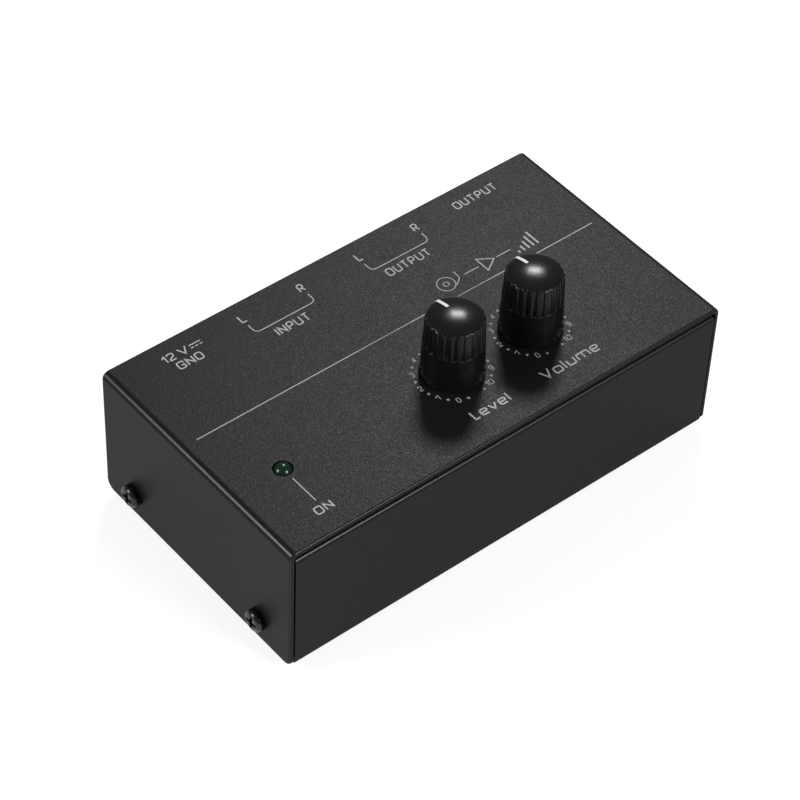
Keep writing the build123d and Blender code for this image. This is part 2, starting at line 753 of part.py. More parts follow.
# Contact: the bored centre contact, relieved behind its grip, with its own tail further back.
with BuildPart() as rca_contact:
    contact_back_y = rca_contact_tail_y - tail_thickness
    with BuildSketch(wall_plane(rca_contact_front_y)):
        with Locations((0, rca_z)):
            Circle(rca_contact_radius)
    extrude(amount=rca_contact_front_y - contact_back_y)
    with BuildSketch(wall_plane(rca_contact_front_y)):
        with Locations((0, rca_z)):
            Circle(rca_contact_bore_radius)
    extrude(amount=rca_contact_bore_depth, mode=Mode.SUBTRACT)
    with BuildSketch(wall_plane(rca_contact_front_y - rca_contact_bore_depth)):
        with Locations((0, rca_z)):
            Circle(rca_contact_relief_radius)
    extrude(amount=rca_contact_relief_depth, mode=Mode.SUBTRACT)
    with BuildSketch(wall_plane(rca_contact_tail_y)):
        with Locations((0, (rca_z + pin_end_z) / 2)):
            Rectangle(tail_width, rca_z - pin_end_z)
    extrude(amount=tail_thickness)

for pair, pair_x in rca_pairs.items():
    place(rca_housing.part, [(pair_x, 0, 0)], f"{pair}_jack_housing")
    for side, side_x in rca_sides.items():
        socket_seat = [(pair_x + side_x, 0, 0)]
        place(rca_shell.part, socket_seat, f"{pair}_{side}_shell")
        place(rca_insulator.part, socket_seat, f"{pair}_{side}_insulator")
        place(rca_contact.part, socket_seat, f"{pair}_{side}_contact")

# ================================================================== phone jack
spring_sides = {
    "ring": (-1, rear_inside_y - ring_spring_start, ring_spring_length),
    "tip": (1, rear_inside_y - tip_spring_start, tip_spring_length),
}

# Housing: hollow moulded body on the board with a threaded nose through the rear wall.
with BuildPart() as phone_jack_housing:
    with BuildSketch(wall_plane(rear_inside_y)):
        with Locations((phone_jack_x, board_z + phone_jack_height / 2)):
            Rectangle(phone_jack_width, phone_jack_height)
    extrude(amount=phone_jack_depth)
    with BuildSketch(wall_plane(rear_inside_y - phone_jack_front_wall)):
        with Locations((phone_jack_x, board_z + phone_jack_height / 2)):
            Rectangle(phone_jack_width - 2 * phone_jack_wall, phone_jack_height - 2 * phone_jack_wall)
    extrude(amount=phone_jack_depth - phone_jack_front_wall - phone_jack_wall, mode=Mode.SUBTRACT)
    with BuildSketch(wall_plane(rear_inside_y)):
        with Locations((phone_jack_x, phone_jack_z)):
            Circle(phone_jack_nose_radius)
    extrude(amount=rear_inside_y - phone_jack_nose_y)
    with BuildSketch(wall_plane(phone_jack_nose_y)):
        with Locations((phone_jack_x, phone_jack_z)):
            Circle(phone_jack_bore_radius + phone_jack_ferrule_wall + press_clearance)
    extrude(amount=phone_jack_nose_y - rear_inside_y + phone_jack_front_wall, mode=Mode.SUBTRACT)
    for side, start_y, length in spring_sides.values():
        with BuildSketch(Plane.XY.offset(board_z)):
            with Locations((phone_jack_x + side * spring_spread, start_y)):
                Circle(pin_hole_radius)
        extrude(amount=phone_jack_wall, mode=Mode.SUBTRACT)
phone_jack_housing.part.label = "phone_jack_housing"
export_step(phone_jack_housing.part, "parts/phone_jack_housing.step")

# Ferrule: the bright sleeve contact that lines the mouth, with a thin flange on the nose.
with BuildPart() as phone_jack_ferrule:
    with BuildSketch(wall_plane(phone_jack_nose_y)):
        with Locations((phone_jack_x, phone_jack_z)):
            Circle(phone_jack_nose_radius)
    extrude(amount=-phone_jack_ferrule_flange)
    with BuildSketch(wall_plane(phone_jack_nose_y)):
        with Locations((phone_jack_x, phone_jack_z)):
            Circle(phone_jack_bore_radius + phone_jack_ferrule_wall)
    extrude(amount=phone_jack_ferrule_length)
    with BuildSketch(wall_plane(phone_jack_nose_y + phone_jack_ferrule_flange)):
        with Locations((phone_jack_x, phone_jack_z)):
            Circle(phone_jack_bore_radius)
    extrude(amount=phone_jack_ferrule_length + phone_jack_ferrule_flange, mode=Mode.SUBTRACT)
phone_jack_ferrule.part.label = "phone_jack_ferrule"
export_step(phone_jack_ferrule.part, "parts/phone_jack_ferrule.step")

with BuildPart() as phone_jack_washer:
    with BuildSketch(wall_plane(back_y)):
        with Locations((phone_jack_x, phone_jack_z)):
            Circle(phone_jack_washer_radius)
            Circle(phone_jack_nose_radius + nut_clearance, mode=Mode.SUBTRACT)
    extrude(amount=-phone_jack_washer_thickness)
phone_jack_washer.part.label = "phone_jack_washer"
export_step(phone_jack_washer.part, "parts/phone_jack_washer.step")

with BuildPart() as phone_jack_nut:
    with BuildSketch(wall_plane(back_y + phone_jack_washer_thickness)):
        with Locations((phone_jack_x, phone_jack_z)):
            RegularPolygon(phone_jack_nut_across_flats / 2, side_count=6, major_radius=False)
            Circle(phone_jack_nose_radius + thread_clearance, mode=Mode.SUBTRACT)
    extrude(amount=-phone_jack_nut_thickness)
phone_jack_nut.part.label = "phone_jack_nut"
export_step(phone_jack_nut.part, "parts/phone_jack_nut.step")

# Springs: bent strips that stand beside the plug, each on a square pin through the floor and the board.
for contact, (side, start_y, length) in spring_sides.items():
    root_x = phone_jack_x + side * spring_spread
    touch_x = phone_jack_x + side * (plug_radius + spring_plug_gap + spring_thickness / 2)
    with BuildPart() as phone_jack_spring:
        with BuildSketch(Plane.XY.offset(phone_jack_z - spring_height / 2)):
            with BuildLine():
                Polyline(
                    (root_x, start_y),
                    (root_x, start_y - spring_straight),
                    (touch_x, start_y - length + spring_lip),
                    (phone_jack_x + side * spring_lip_spread, start_y - length),
                )
            trace(line_width=spring_thickness)
        extrude(amount=spring_height)
        with BuildSketch(Plane.XY.offset(phone_jack_z)):
            with Locations((root_x, start_y)):
                Rectangle(pin_width, pin_width)
        extrude(amount=pin_end_z - phone_jack_z)
    phone_jack_spring.part.label = f"phone_jack_{contact}_spring"
    export_step(phone_jack_spring.part, f"parts/phone_jack_{contact}_spring.step")

# ================================================================== 12 V socket
dc_spring_root_y = dc_jack_back_y + dc_jack_spring_back
dc_spring_z = dc_jack_z - dc_jack_bore_radius

# Housing: block with a round nose in the rear wall, bored for the plug, slotted below for the spring.
with BuildPart() as dc_jack_housing:
    with BuildSketch(wall_plane(rear_inside_y)):
        with Locations((power_x, board_z + dc_jack_height / 2)):
            Rectangle(dc_jack_width, dc_jack_height)
    extrude(amount=dc_jack_depth)
    with BuildSketch(wall_plane(rear_inside_y)):
        with Locations((power_x, dc_jack_z)):
            Circle(dc_jack_nose_radius)
    extrude(amount=rear_inside_y - dc_jack_mouth_y)
    with BuildSketch(wall_plane(dc_jack_mouth_y)):
        with Locations((power_x, dc_jack_z)):
            Circle(dc_jack_bore_radius)
    extrude(amount=dc_jack_bore_depth, mode=Mode.SUBTRACT)
    with BuildSketch(wall_plane(dc_jack_mouth_y)):
        with Locations((power_x, dc_jack_z)):
            Circle(dc_jack_pin_root_radius + press_clearance)
    extrude(amount=dc_jack_mouth_y - dc_jack_back_y, mode=Mode.SUBTRACT)
    with BuildSketch(Plane.XY.offset(board_z)):
        with Locations((power_x, dc_spring_root_y + (dc_jack_spring_length - spring_thickness) / 2)):
            Rectangle(dc_jack_spring_width + 2 * pin_clearance, dc_jack_spring_length + 2 * pin_clearance)
    extrude(amount=dc_jack_z - board_z - dc_jack_bore_radius / 2, mode=Mode.SUBTRACT)
dc_jack_housing.part.label = "dc_jack_housing"
export_step(dc_jack_housing.part, "parts/dc_jack_housing.step")

# Centre pin: round-nosed, through the back of the housing, with a flat tail down to the board.
with BuildPart() as dc_jack_pin:
    pin_front_y = dc_jack_mouth_y - dc_jack_pin_recess
    with BuildSketch(wall_plane(pin_front_y)):
        with Locations((power_x, dc_jack_z)):
            Circle(dc_jack_pin_radius)
    extrude(amount=dc_jack_bore_depth - dc_jack_pin_recess)
    fillet(dc_jack_pin.edges().group_by(Axis.Y)[-1], dc_jack_pin_nose)
    with BuildSketch(wall_plane(dc_jack_mouth_y - dc_jack_bore_depth)):
        with Locations((power_x, dc_jack_z)):
            Circle(dc_jack_pin_root_radius)
    extrude(amount=dc_jack_mouth_y - dc_jack_bore_depth - dc_jack_back_y + tail_thickness)
    with BuildSketch(wall_plane(dc_jack_back_y)):
        with Locations((power_x, (dc_jack_z + pin_end_z) / 2)):
            Rectangle(tail_width, dc_jack_z - pin_end_z)
    extrude(amount=tail_thickness)
dc_jack_pin.part.label = "dc_jack_pin"
export_step(dc_jack_pin.part, "parts/dc_jack_pin.step")

# Spring: a strip that rises along the bore's underside from its foot in the board.
with BuildPart() as dc_jack_spring:
    with BuildSketch(Plane.YZ.offset(power_x)):
        with BuildLine():
            Polyline(
                (dc_spring_root_y, board_z),
                (dc_spring_root_y, dc_spring_z - dc_jack_spring_rise),
                (dc_spring_root_y + dc_jack_spring_length - spring_thickness, dc_spring_z),
            )
        trace(line_width=spring_thickness)
    extrude(amount=dc_jack_spring_width / 2, both=True)
    with BuildSketch(Plane.XY.offset(board_z + spring_thickness)):
        with Locations((power_x, dc_spring_root_y)):
            Rectangle(tail_width, spring_thickness)
    extrude(amount=pin_end_z - board_z - spring_thickness)
dc_jack_spring.part.label = "dc_jack_spring"
export_step(dc_jack_spring.part, "parts/dc_jack_spring.step")

# ================================================================== ground terminal
# Stud: pan head inside the rear wall, plain shank out through it.
with BuildPart() as ground_stud:
    head_y = rear_inside_y - ground_lug_thickness
    with BuildSketch(wall_plane(head_y)):
        with Locations((power_x, ground_z)):
            Circle(ground_head_radius)
    extrude(amount=ground_head_height)
    with BuildSketch(wall_plane(head_y)):
        with Locations((power_x, ground_z)):
            Circle(ground_stud_radius)
    extrude(amount=head_y - back_y - ground_stud_reach)
    chamfer(ground_stud.edges().group_by(Axis.Y)[-1], tip_chamfer)
ground_stud.part.label = "ground_stud"
export_step(ground_stud.part, "parts/ground_stud.step")

# Lug: ring tag under the stud's head with a strap that is soldered to the board's underside.
with BuildPart() as ground_lug:
    with BuildSketch(wall_plane(rear_inside_y)):
        with Locations((power_x, ground_z)):
            Circle(ground_lug_radius)
        with Locations((power_x, (ground_z + board_under_z) / 2)):
            Rectangle(ground_lug_width, board_under_z - ground_z)
        with Locations((power_x, ground_z)):
            Circle(ground_stud_radius + nut_clearance, mode=Mode.SUBTRACT)
    extrude(amount=ground_lug_thickness)
ground_lug.part.label = "ground_lug"
export_step(ground_lug.part, "parts/ground_lug.step")

with BuildPart() as ground_nut:
    with BuildSketch(wall_plane(back_y)):
        with Locations((power_x, ground_z)):
            RegularPolygon(ground_nut_across_flats / 2, side_count=6, major_radius=False)
            Circle(ground_stud_radius + thread_clearance, mode=Mode.SUBTRACT)
    extrude(amount=-ground_nut_thickness)
ground_nut.part.label = "ground_nut"
export_step(ground_nut.part, "parts/ground_nut.step")

ground_washer_y = back_y + ground_nut_thickness
ground_thumb_y = ground_washer_y + ground_washer_thickness

with BuildPart() as ground_washer:
    with BuildSketch(wall_plane(ground_washer_y)):
        with Locations((power_x, ground_z)):
            Circle(ground_washer_radius)
            Circle(ground_stud_radius + nut_clearance, mode=Mode.SUBTRACT)
    extrude(amount=-ground_washer_thickness)
ground_washer.part.label = "ground_washer"
export_step(ground_washer.part, "parts/ground_washer.step")

# Thumb nut: knurled head on a narrower collar that presses on the washer.
with BuildPart() as ground_thumb_nut:
    with BuildSketch(wall_plane(ground_thumb_y)):
        with Locations((power_x, ground_z)):
            Circle(ground_thumb_collar_radius)
    extrude(amount=-ground_thumb_collar)
    with BuildSketch(wall_plane(ground_thumb_y + ground_thumb_collar)):
        with Locations((power_x, ground_z)):
            Circle(ground_thumb_radius)
            with PolarLocations(ground_thumb_radius, ground_knurl_count):
                Circle(ground_knurl_radius, mode=Mode.SUBTRACT)
    extrude(amount=ground_thumb_collar - ground_thumb_length)
    with BuildSketch(wall_plane(ground_thumb_y)):
        with Locations((power_x, ground_z)):
            Circle(ground_stud_radius + ground_running_clearance)
    extrude(amount=-ground_thumb_length, mode=Mode.SUBTRACT)
ground_thumb_nut.part.label = "ground_thumb_nut"
export_step(ground_thumb_nut.part, "parts/ground_thumb_nut.step")

# ================================================================== board
# Every soldered pin has its own hole, at the place where its piece puts it.
pin_holes = [(x + px, control_y + py) for x in controls.values() for px, py in pot_pins]
pin_holes += [(x, led_y) for x in led_lead_xs]
for pair_x in rca_pairs.values():
    for side_x in rca_sides.values():
        pin_holes.append((pair_x + side_x + rca_shell_tail_x, rca_back_y - tail_thickness / 2))
        pin_holes.append((pair_x + side_x, rca_contact_tail_y - tail_thickness / 2))
for side, start_y, length in spring_sides.values():
    pin_holes.append((phone_jack_x + side * spring_spread, start_y))
pin_holes.append((power_x, dc_jack_back_y - tail_thickness / 2))
pin_holes.append((power_x, dc_spring_root_y))

with BuildPart() as main_board:
    with BuildSketch(Plane.XY.offset(board_under_z)) as board_outline:
        with Locations((0, (board_front_y + board_back_y) / 2)):
            Rectangle(board_width, board_back_y - board_front_y)
        fillet(board_outline.vertices(), board_corner_round)
        with Locations(*board_holes):
            Circle(board_hole_radius, mode=Mode.SUBTRACT)
        with Locations(*pin_holes):
            Circle(pin_hole_radius, mode=Mode.SUBTRACT)
    extrude(amount=board_thickness)
main_board.part.label = "main_board"
export_step(main_board.part, "parts/main_board.step")

# Op-amps: eight-pin moulded packages, one per pair of channels, on their own bent legs.
with BuildPart() as op_amp:
    body_z = board_z + op_amp_standoff
    shoulder_z = body_z + op_amp_height / 2
    with BuildSketch(Plane.XZ):
        with Locations((0, (board_z + shoulder_z) / 2)):
            with GridLocations(op_amp_leg_pitch, op_amp_leg_pitch, op_amp_legs_per_side, 1):
                Rectangle(op_amp_leg_width, shoulder_z - board_z)
    extrude(amount=op_amp_width / 2 + op_amp_leg_thickness, both=True)
    with BuildSketch(Plane.YZ):
        with Locations((0, (board_z + shoulder_z - op_amp_leg_thickness) / 2)):
            Rectangle(op_amp_width, shoulder_z - op_amp_leg_thickness - board_z)
    extrude(amount=op_amp_length, both=True, mode=Mode.SUBTRACT)
    with BuildSketch(Plane.XY.offset(body_z)):
        Rectangle(op_amp_length, op_amp_width)
        with Locations((-op_amp_length / 2, 0)):
            Circle(op_amp_notch_radius, mode=Mode.SUBTRACT)
    extrude(amount=op_amp_height)

for channel, x in zip(("input", "output"), op_amp_x):
    place(op_amp.part, [(x, front_y + op_amp_from_front, 0)], f"{channel}_op_amp")


def can_capacitor(radius, height):
    """Upright electrolytic capacitor on the board: crimp groove near the foot, rounded rim on top."""
    with BuildPart() as capacitor:
        with BuildSketch(Plane.XY.offset(board_z)):
            Circle(radius)
        extrude(amount=height)
        fillet(capacitor.edges().group_by(Axis.Z)[-1], cap_edge_round)
        with Locations((0, 0, board_z + cap_groove_height)):
            Torus(radius + cap_groove_radius / 2, cap_groove_radius, mode=Mode.SUBTRACT)
    return capacitor.part


smoothing_seats = [(x, front_y + smoothing_cap_from_front, 0) for x in smoothing_cap_x]
coupling_seats = [(x, front_y + coupling_cap_from_front, 0) for x in coupling_cap_x]
place(can_capacitor(smoothing_cap_radius, smoothing_cap_height), smoothing_seats, "smoothing_capacitors")
place(can_capacitor(coupling_cap_radius, coupling_cap_height), coupling_seats, "coupling_capacitors")

with BuildPart() as film_capacitors:
    with BuildSketch(Plane.XY.offset(board_z)) as cases:
        with Locations(*[(x, front_y + film_cap_from_front) for x in film_cap_x]):
            RectangleRounded(film_cap_length, film_cap_width, film_cap_round)
    extrude(amount=film_cap_height)
film_capacitors.part.label = "film_capacitors"
export_step(film_capacitors.part, "parts/film_capacitors.step")


def axial_component(length, radius):
    """Round body along X with a lead bent down to the board at each end."""
    half_pitch = axial_lead_pitch / 2
    with BuildPart() as component:
        with BuildSketch(Plane.YZ):
            with Locations((0, axial_z)):
                Circle(radius)
        extrude(amount=length / 2, both=True)
        with BuildLine(Plane.XZ) as lead:
            FilletPolyline(
                (-half_pitch, board_z),
                (-half_pitch, axial_z),
                (half_pitch, axial_z),
                (half_pitch, board_z),
                radius=axial_lead_bend,
            )
        with BuildSketch(Plane.XY.offset(board_z)):
            with Locations((-half_pitch, 0)):
                Circle(axial_lead_radius)
        sweep(path=lead.line)
    return component.part


# Resistors: axial bodies waisted between their end caps.
with BuildPart() as resistor:
    add(axial_component(resistor_length, resistor_radius))
    with BuildSketch(Plane.YZ):
        with Locations((0, axial_z)):
            Circle(2 * resistor_radius)
            Circle(resistor_waist_radius, mode=Mode.SUBTRACT)
    extrude(amount=resistor_waist_length / 2, both=True, mode=Mode.SUBTRACT)

resistor_seats = [(x, front_y + row, 0) for x in resistor_x for row in resistor_rows_from_front]
place(resistor.part, resistor_seats, "resistors")
diode_seats = [(diode_x, front_y + diode_from_front, 0)]
place(axial_component(diode_length, diode_radius), diode_seats, "rectifier_diode")

# Regulator: upright power package with a drilled metal tab and three legs.
with BuildPart() as voltage_regulator:
    regulator_y = front_y + regulator_from_front
    body_foot_z = board_z + regulator_leg_length
    tab_plane = Plane.XZ.offset(-regulator_y - regulator_body_thickness / 2)
    with BuildSketch(tab_plane):
        with Locations((regulator_x, body_foot_z + regulator_body_height / 2)):
            Rectangle(regulator_width, regulator_body_height)
    extrude(amount=regulator_body_thickness)
    tab_foot_z = body_foot_z + regulator_body_height
    with BuildSketch(tab_plane):
        with Locations((regulator_x, tab_foot_z + regulator_tab_height / 2)):
            Rectangle(regulator_width, regulator_tab_height)
            Circle(regulator_hole_radius, mode=Mode.SUBTRACT)
    extrude(amount=regulator_tab_thickness)
    with BuildSketch(Plane.XY.offset(board_z)):
        with Locations((regulator_x, regulator_y)):
            with GridLocations(regulator_leg_pitch, regulator_leg_pitch, regulator_legs, 1):
                Rectangle(regulator_leg_width, regulator_leg_thickness)
    extrude(amount=regulator_leg_length)
voltage_regulator.part.label = "voltage_regulator"
export_step(voltage_regulator.part, "parts/voltage_regulator.step")
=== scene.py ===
import json
import math

import bpy
from mathutils import Matrix, Vector


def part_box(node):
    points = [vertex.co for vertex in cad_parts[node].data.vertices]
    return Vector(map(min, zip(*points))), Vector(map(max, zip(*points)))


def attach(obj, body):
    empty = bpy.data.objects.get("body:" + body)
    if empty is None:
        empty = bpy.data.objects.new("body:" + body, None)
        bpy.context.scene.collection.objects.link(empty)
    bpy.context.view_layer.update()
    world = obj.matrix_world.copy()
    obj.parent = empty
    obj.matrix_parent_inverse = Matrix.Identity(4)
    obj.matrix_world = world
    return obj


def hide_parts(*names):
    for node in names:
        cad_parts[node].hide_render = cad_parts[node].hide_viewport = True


# Looks for a small phono preamp in a folded, powder-coated steel case. Lengths are in metres, in the frame of
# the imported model: X along the front, Y from the front wall to the rear wall, Z up from the table.
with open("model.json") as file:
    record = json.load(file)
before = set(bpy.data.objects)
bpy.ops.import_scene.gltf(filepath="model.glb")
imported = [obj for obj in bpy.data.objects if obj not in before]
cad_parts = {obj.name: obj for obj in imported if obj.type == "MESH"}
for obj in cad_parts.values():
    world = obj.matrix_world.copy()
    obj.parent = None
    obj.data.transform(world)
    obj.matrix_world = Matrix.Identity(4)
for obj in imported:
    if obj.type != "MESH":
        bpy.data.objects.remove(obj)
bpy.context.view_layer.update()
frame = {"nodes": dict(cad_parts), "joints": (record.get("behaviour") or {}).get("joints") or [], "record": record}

MM = 0.001
NODES = frame["nodes"]
RECORD = frame["record"]
SLOT_OF = {part["node"]: part["material_slot"] for part in RECORD["subparts"]}
BODY_OF = {node: body for body, members in RECORD["behaviour"]["bodies"].items() for node in members}
AXIS_OF = {joint["name"]: joint["pos_m"] for joint in frame["joints"] if "pos_m" in joint}
cover_low, cover_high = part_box("top_cover")
TOP_Z = cover_high.z
MIDDLE_Y = (cover_low.y + cover_high.y) / 2


# ---------------------------------------------------------------- finishes
def linear(code):
    """An sRGB hex colour as the linear values that shaders work in."""
    parts = [int(code[i : i + 2], 16) / 255 for i in (1, 3, 5)]
    return (*[p / 12.92 if p <= 0.04045 else ((p + 0.055) / 1.055) ** 2.4 for p in parts], 1.0)


def add_node(tree, kind, inputs=None, **settings):
    """Add a node with its settings. An input given as a socket is linked, any other is set as a value."""
    made = tree.nodes.new(kind)
    for name, value in settings.items():
        setattr(made, name, value)
    for name, value in (inputs or {}).items():
        if isinstance(value, bpy.types.NodeSocket):
            tree.links.new(value, made.inputs[name])
        else:
            made.inputs[name].default_value = value
    return made


def blank_finish(name, **constants):
    """A material whose one shader has these constants. Returns the material, its tree, shader and place."""
    material = bpy.data.materials.new(name)
    material.use_nodes = True
    tree = material.node_tree
    shader = tree.nodes["Principled BSDF"]
    for socket, value in constants.items():
        shader.inputs[socket.replace("_", " ")].default_value = value
    place = add_node(tree, "ShaderNodeTexCoord").outputs["Object"]
    return material, tree, shader, place


def powder_coat():
    """Satin polyester powder coat, sprayed and baked on steel. The melted grains leave facets about 0.3 mm
    wide, some glossier than others, so a lamp's reflection breaks up into a fine speckle. On folds and cut
    edges the melt draws thin and flows smooth, so they are glossier and show as fine pale lines."""
    material, tree, shader, place = blank_finish("powder_coat", Specular_IOR_Level=0.1, Coat_Roughness=0.3)
    peel_size, facet_size, peel_depth = 0.32 * MM, 0.3 * MM, 0.045 * MM
    peel = add_node(
        tree,
        "ShaderNodeTexNoise",
        {"Vector": place, "Scale": 1 / peel_size, "Detail": 1.0, "Roughness": 0.5},
    )
    facets = add_node(
        tree,
        "ShaderNodeTexNoise",
        {"Vector": place, "Scale": 1 / facet_size, "Detail": 1.0, "Roughness": 0.5},
    )
    colour = add_node(
        tree,
        "ShaderNodeMix",
        {0: facets.outputs["Fac"], 6: linear("#141415"), 7: linear("#1e1e1f")},
        data_type="RGBA",
    )
    tree.links.new(colour.outputs[2], shader.inputs["Base Color"])
    rough = add_node(
        tree,
        "ShaderNodeMapRange",
        {"Value": facets.outputs["Fac"], "From Min": 0.3, "From Max": 0.7, "To Min": 0.3, "To Max": 0.5},
    )
    tree.links.new(rough.outputs["Result"], shader.inputs["Roughness"])
    bump = add_node(
        tree, "ShaderNodeBump", {"Height": peel.outputs["Fac"], "Distance": peel_depth, "Strength": 1.0}
    )
    tree.links.new(bump.outputs["Normal"], shader.inputs["Normal"])
    # Walls face along one axis. Where the skin faces between two, it is on a fold or a broken edge.
    facing = add_node(tree, "ShaderNodeTexCoord").outputs["Normal"]
    squares = add_node(tree, "ShaderNodeVectorMath", {0: facing, 1: facing}, operation="MULTIPLY")
    axes = add_node(tree, "ShaderNodeSeparateXYZ", {"Vector": squares.outputs["Vector"]})
    level_part = add_node(
        tree, "ShaderNodeMath", {0: axes.outputs["X"], 1: axes.outputs["Y"]}, operation="MAXIMUM"
    )
    main_part = add_node(
        tree, "ShaderNodeMath", {0: level_part.outputs["Value"], 1: axes.outputs["Z"]}, operation="MAXIMUM"
    )
    folded = add_node(
        tree,
        "ShaderNodeMapRange",
        {"Value": main_part.outputs["Value"], "From Min": 0.76, "From Max": 0.56, "To Max": 0.75},
    )
    tree.links.new(folded.outputs["Result"], shader.inputs["Coat Weight"])
    return material


def screen_ink():
    """White epoxy ink, screen printed through a mesh. It lies thin over the dark coat, so it looks grey and
    the coat's grain shows in it as specks."""
    material, tree, shader, place = blank_finish("screen_ink", Specular_IOR_Level=0.3, Roughness=0.55)
    grain = add_node(tree, "ShaderNodeTexNoise", {"Vector": place, "Scale": 1 / (0.3 * MM), "Detail": 2.0})
    share = add_node(
        tree, "ShaderNodeMapRange", {"Value": grain.outputs["Fac"], "From Min": 0.35, "From Max": 0.65}
    )
    colour = add_node(
        tree,
        "ShaderNodeMix",
        {0: share.outputs["Result"], 6: linear("#a4a4a4"), 7: linear("#bebebe")},
        data_type="RGBA",
    )
    tree.links.new(colour.outputs[2], shader.inputs["Base Color"])
    bump = add_node(
        tree, "ShaderNodeBump", {"Height": grain.outputs["Fac"], "Distance": 0.02 * MM, "Strength": 0.5}
    )
    tree.links.new(bump.outputs["Normal"], shader.inputs["Normal"])
    return material


def moulded_skin(name, dark, light, roughness, grain_size, relief, level=0.5):
    """A moulded, drawn or dipped skin without metal. A grain of this size moves its gloss and its surface,
    and the slow flow of the melt leaves its colour a little uneven."""
    material, tree, shader, place = blank_finish(name, Specular_IOR_Level=level)
    grain = add_node(tree, "ShaderNodeTexNoise", {"Vector": place, "Scale": 1 / grain_size, "Detail": 3.0})
    flow = add_node(
        tree,
        "ShaderNodeTexNoise",
        {"Vector": place, "Scale": 1 / (14 * grain_size), "Detail": 2.0, "Distortion": 0.6},
    )
    colour = add_node(
        tree,
        "ShaderNodeMix",
        {0: flow.outputs["Fac"], 6: linear(dark), 7: linear(light)},
        data_type="RGBA",
    )
    tree.links.new(colour.outputs[2], shader.inputs["Base Color"])
    rough = add_node(
        tree,
        "ShaderNodeMapRange",
        {"Value": grain.outputs["Fac"], "To Min": roughness - 0.06, "To Max": roughness + 0.06},
    )
    tree.links.new(rough.outputs["Result"], shader.inputs["Roughness"])
    bump = add_node(
        tree, "ShaderNodeBump", {"Height": grain.outputs["Fac"], "Distance": relief, "Strength": 0.6}
    )
    tree.links.new(bump.outputs["Normal"], shader.inputs["Normal"])
    return material


def knob_plastic():
    """Black ABS moulded in a spark-eroded tool: a satin skin whose grain spreads the highlights. A grain of
    about 0.15 mm is drawn at 0.28 mm, because a finer one would not show."""
    return moulded_skin("knob_plastic", "#111113", "#161618", 0.21, 0.28 * MM, 0.024 * MM, 0.26)


def white_inlay():
    """White ABS of the second shot, moulded into the pointer slot: smooth, bright and slightly warm."""
    return moulded_skin("white_inlay", "#e2e2de", "#f0f0ec", 0.35, 0.3 * MM, 0.004 * MM)


def black_moulding():
    """Black glass-filled nylon of the socket bodies: matt, with short fibres that show as a fine grey
    fleck."""
    return moulded_skin("black_moulding", "#0e0e0e", "#181818", 0.48, 0.25 * MM, 0.01 * MM, 0.4)


def nylon():
    """Natural nylon of the light's spacer: milky, and soft enough that light goes a little way in."""
    material = moulded_skin("nylon", "#d4d2c4", "#e0dfd3", 0.45, 0.4 * MM, 0.006 * MM)
    shader = material.node_tree.nodes["Principled BSDF"]
    shader.inputs["Subsurface Weight"].default_value = 0.2
    shader.inputs["Subsurface Radius"].default_value = (1.0 * MM, 1.0 * MM, 0.8 * MM)
    return material


def white_insulator():
    """White polyacetal ring of a left socket: smooth, waxy gloss."""
    return moulded_skin("white_insulator", "#dededa", "#ebebe7", 0.28, 0.5 * MM, 0.004 * MM)


def red_insulator():
    """Red polyacetal ring of a right socket: smooth, waxy gloss."""
    return moulded_skin("red_insulator", "#9c0e10", "#b51417", 0.28, 0.5 * MM, 0.004 * MM)


def black_epoxy():
    """Black moulded epoxy of the chip packages: matt, with a fine silica grain."""
    return moulded_skin("black_epoxy", "#141414", "#1c1c1c", 0.55, 0.15 * MM, 0.01 * MM, 0.35)


def rubber():
    """Black moulded rubber of the feet: dull, with a bloom that greys it in patches."""
    return moulded_skin("rubber", "#121212", "#1e1e1e", 0.8, 0.3 * MM, 0.02 * MM, 0.25)


def phenolic():
    """Brown paper laminate of the potentiometer wafers: punched sheet with a faint mottled paper grain."""
    return moulded_skin("phenolic", "#5e3a1c", "#7d5229", 0.5, 0.4 * MM, 0.01 * MM)


def capacitor_sleeve():
    """Dark blue shrink sleeve on the electrolytic cans: thin glossy film with slight ripples."""
    return moulded_skin("capacitor_sleeve", "#10122a", "#181b38", 0.2, 0.9 * MM, 0.02 * MM)


def film_capacitor():
    """Dark red moulded box of the film capacitors: glossy thermoplastic."""
    return moulded_skin("film_capacitor", "#7c1812", "#92211a", 0.3, 0.5 * MM, 0.006 * MM)


def resistor_lacquer():
    """Pale blue lacquer, dipped on the resistors: glossy, with a dip coat's uneven thickness."""
    return moulded_skin("resistor_lacquer", "#6d9cb6", "#86b0c6", 0.25, 0.5 * MM, 0.02 * MM)


def worked_metal(name, dark, light, low, high, grain_size, relief, stretch=(1.0, 1.0, 1.0)):
    """Plated or bare metal. A grain of this size moves its colour, roughness and surface a little. The
    stretch makes it finer along some axes and coarser along others, as turning marks are."""
    material, tree, shader, place = blank_finish(name, Metallic=1.0)
    along = add_node(tree, "ShaderNodeMapping", {"Vector": place, "Scale": stretch})
    grain = add_node(
        tree,
        "ShaderNodeTexNoise",
        {"Vector": along.outputs["Vector"], "Scale": 1 / grain_size, "Detail": 4.0, "Roughness": 0.6},
    )
    colour = add_node(
        tree,
        "ShaderNodeMix",
        {0: grain.outputs["Fac"], 6: linear(dark), 7: linear(light)},
        data_type="RGBA",
    )
    tree.links.new(colour.outputs[2], shader.inputs["Base Color"])
    rough = add_node(
        tree, "ShaderNodeMapRange", {"Value": grain.outputs["Fac"], "To Min": low, "To Max": high}
    )
    tree.links.new(rough.outputs["Result"], shader.inputs["Roughness"])
    bump = add_node(
        tree, "ShaderNodeBump", {"Height": grain.outputs["Fac"], "Distance": relief, "Strength": 0.5}
    )
    tree.links.new(bump.outputs["Normal"], shader.inputs["Normal"])
    return material


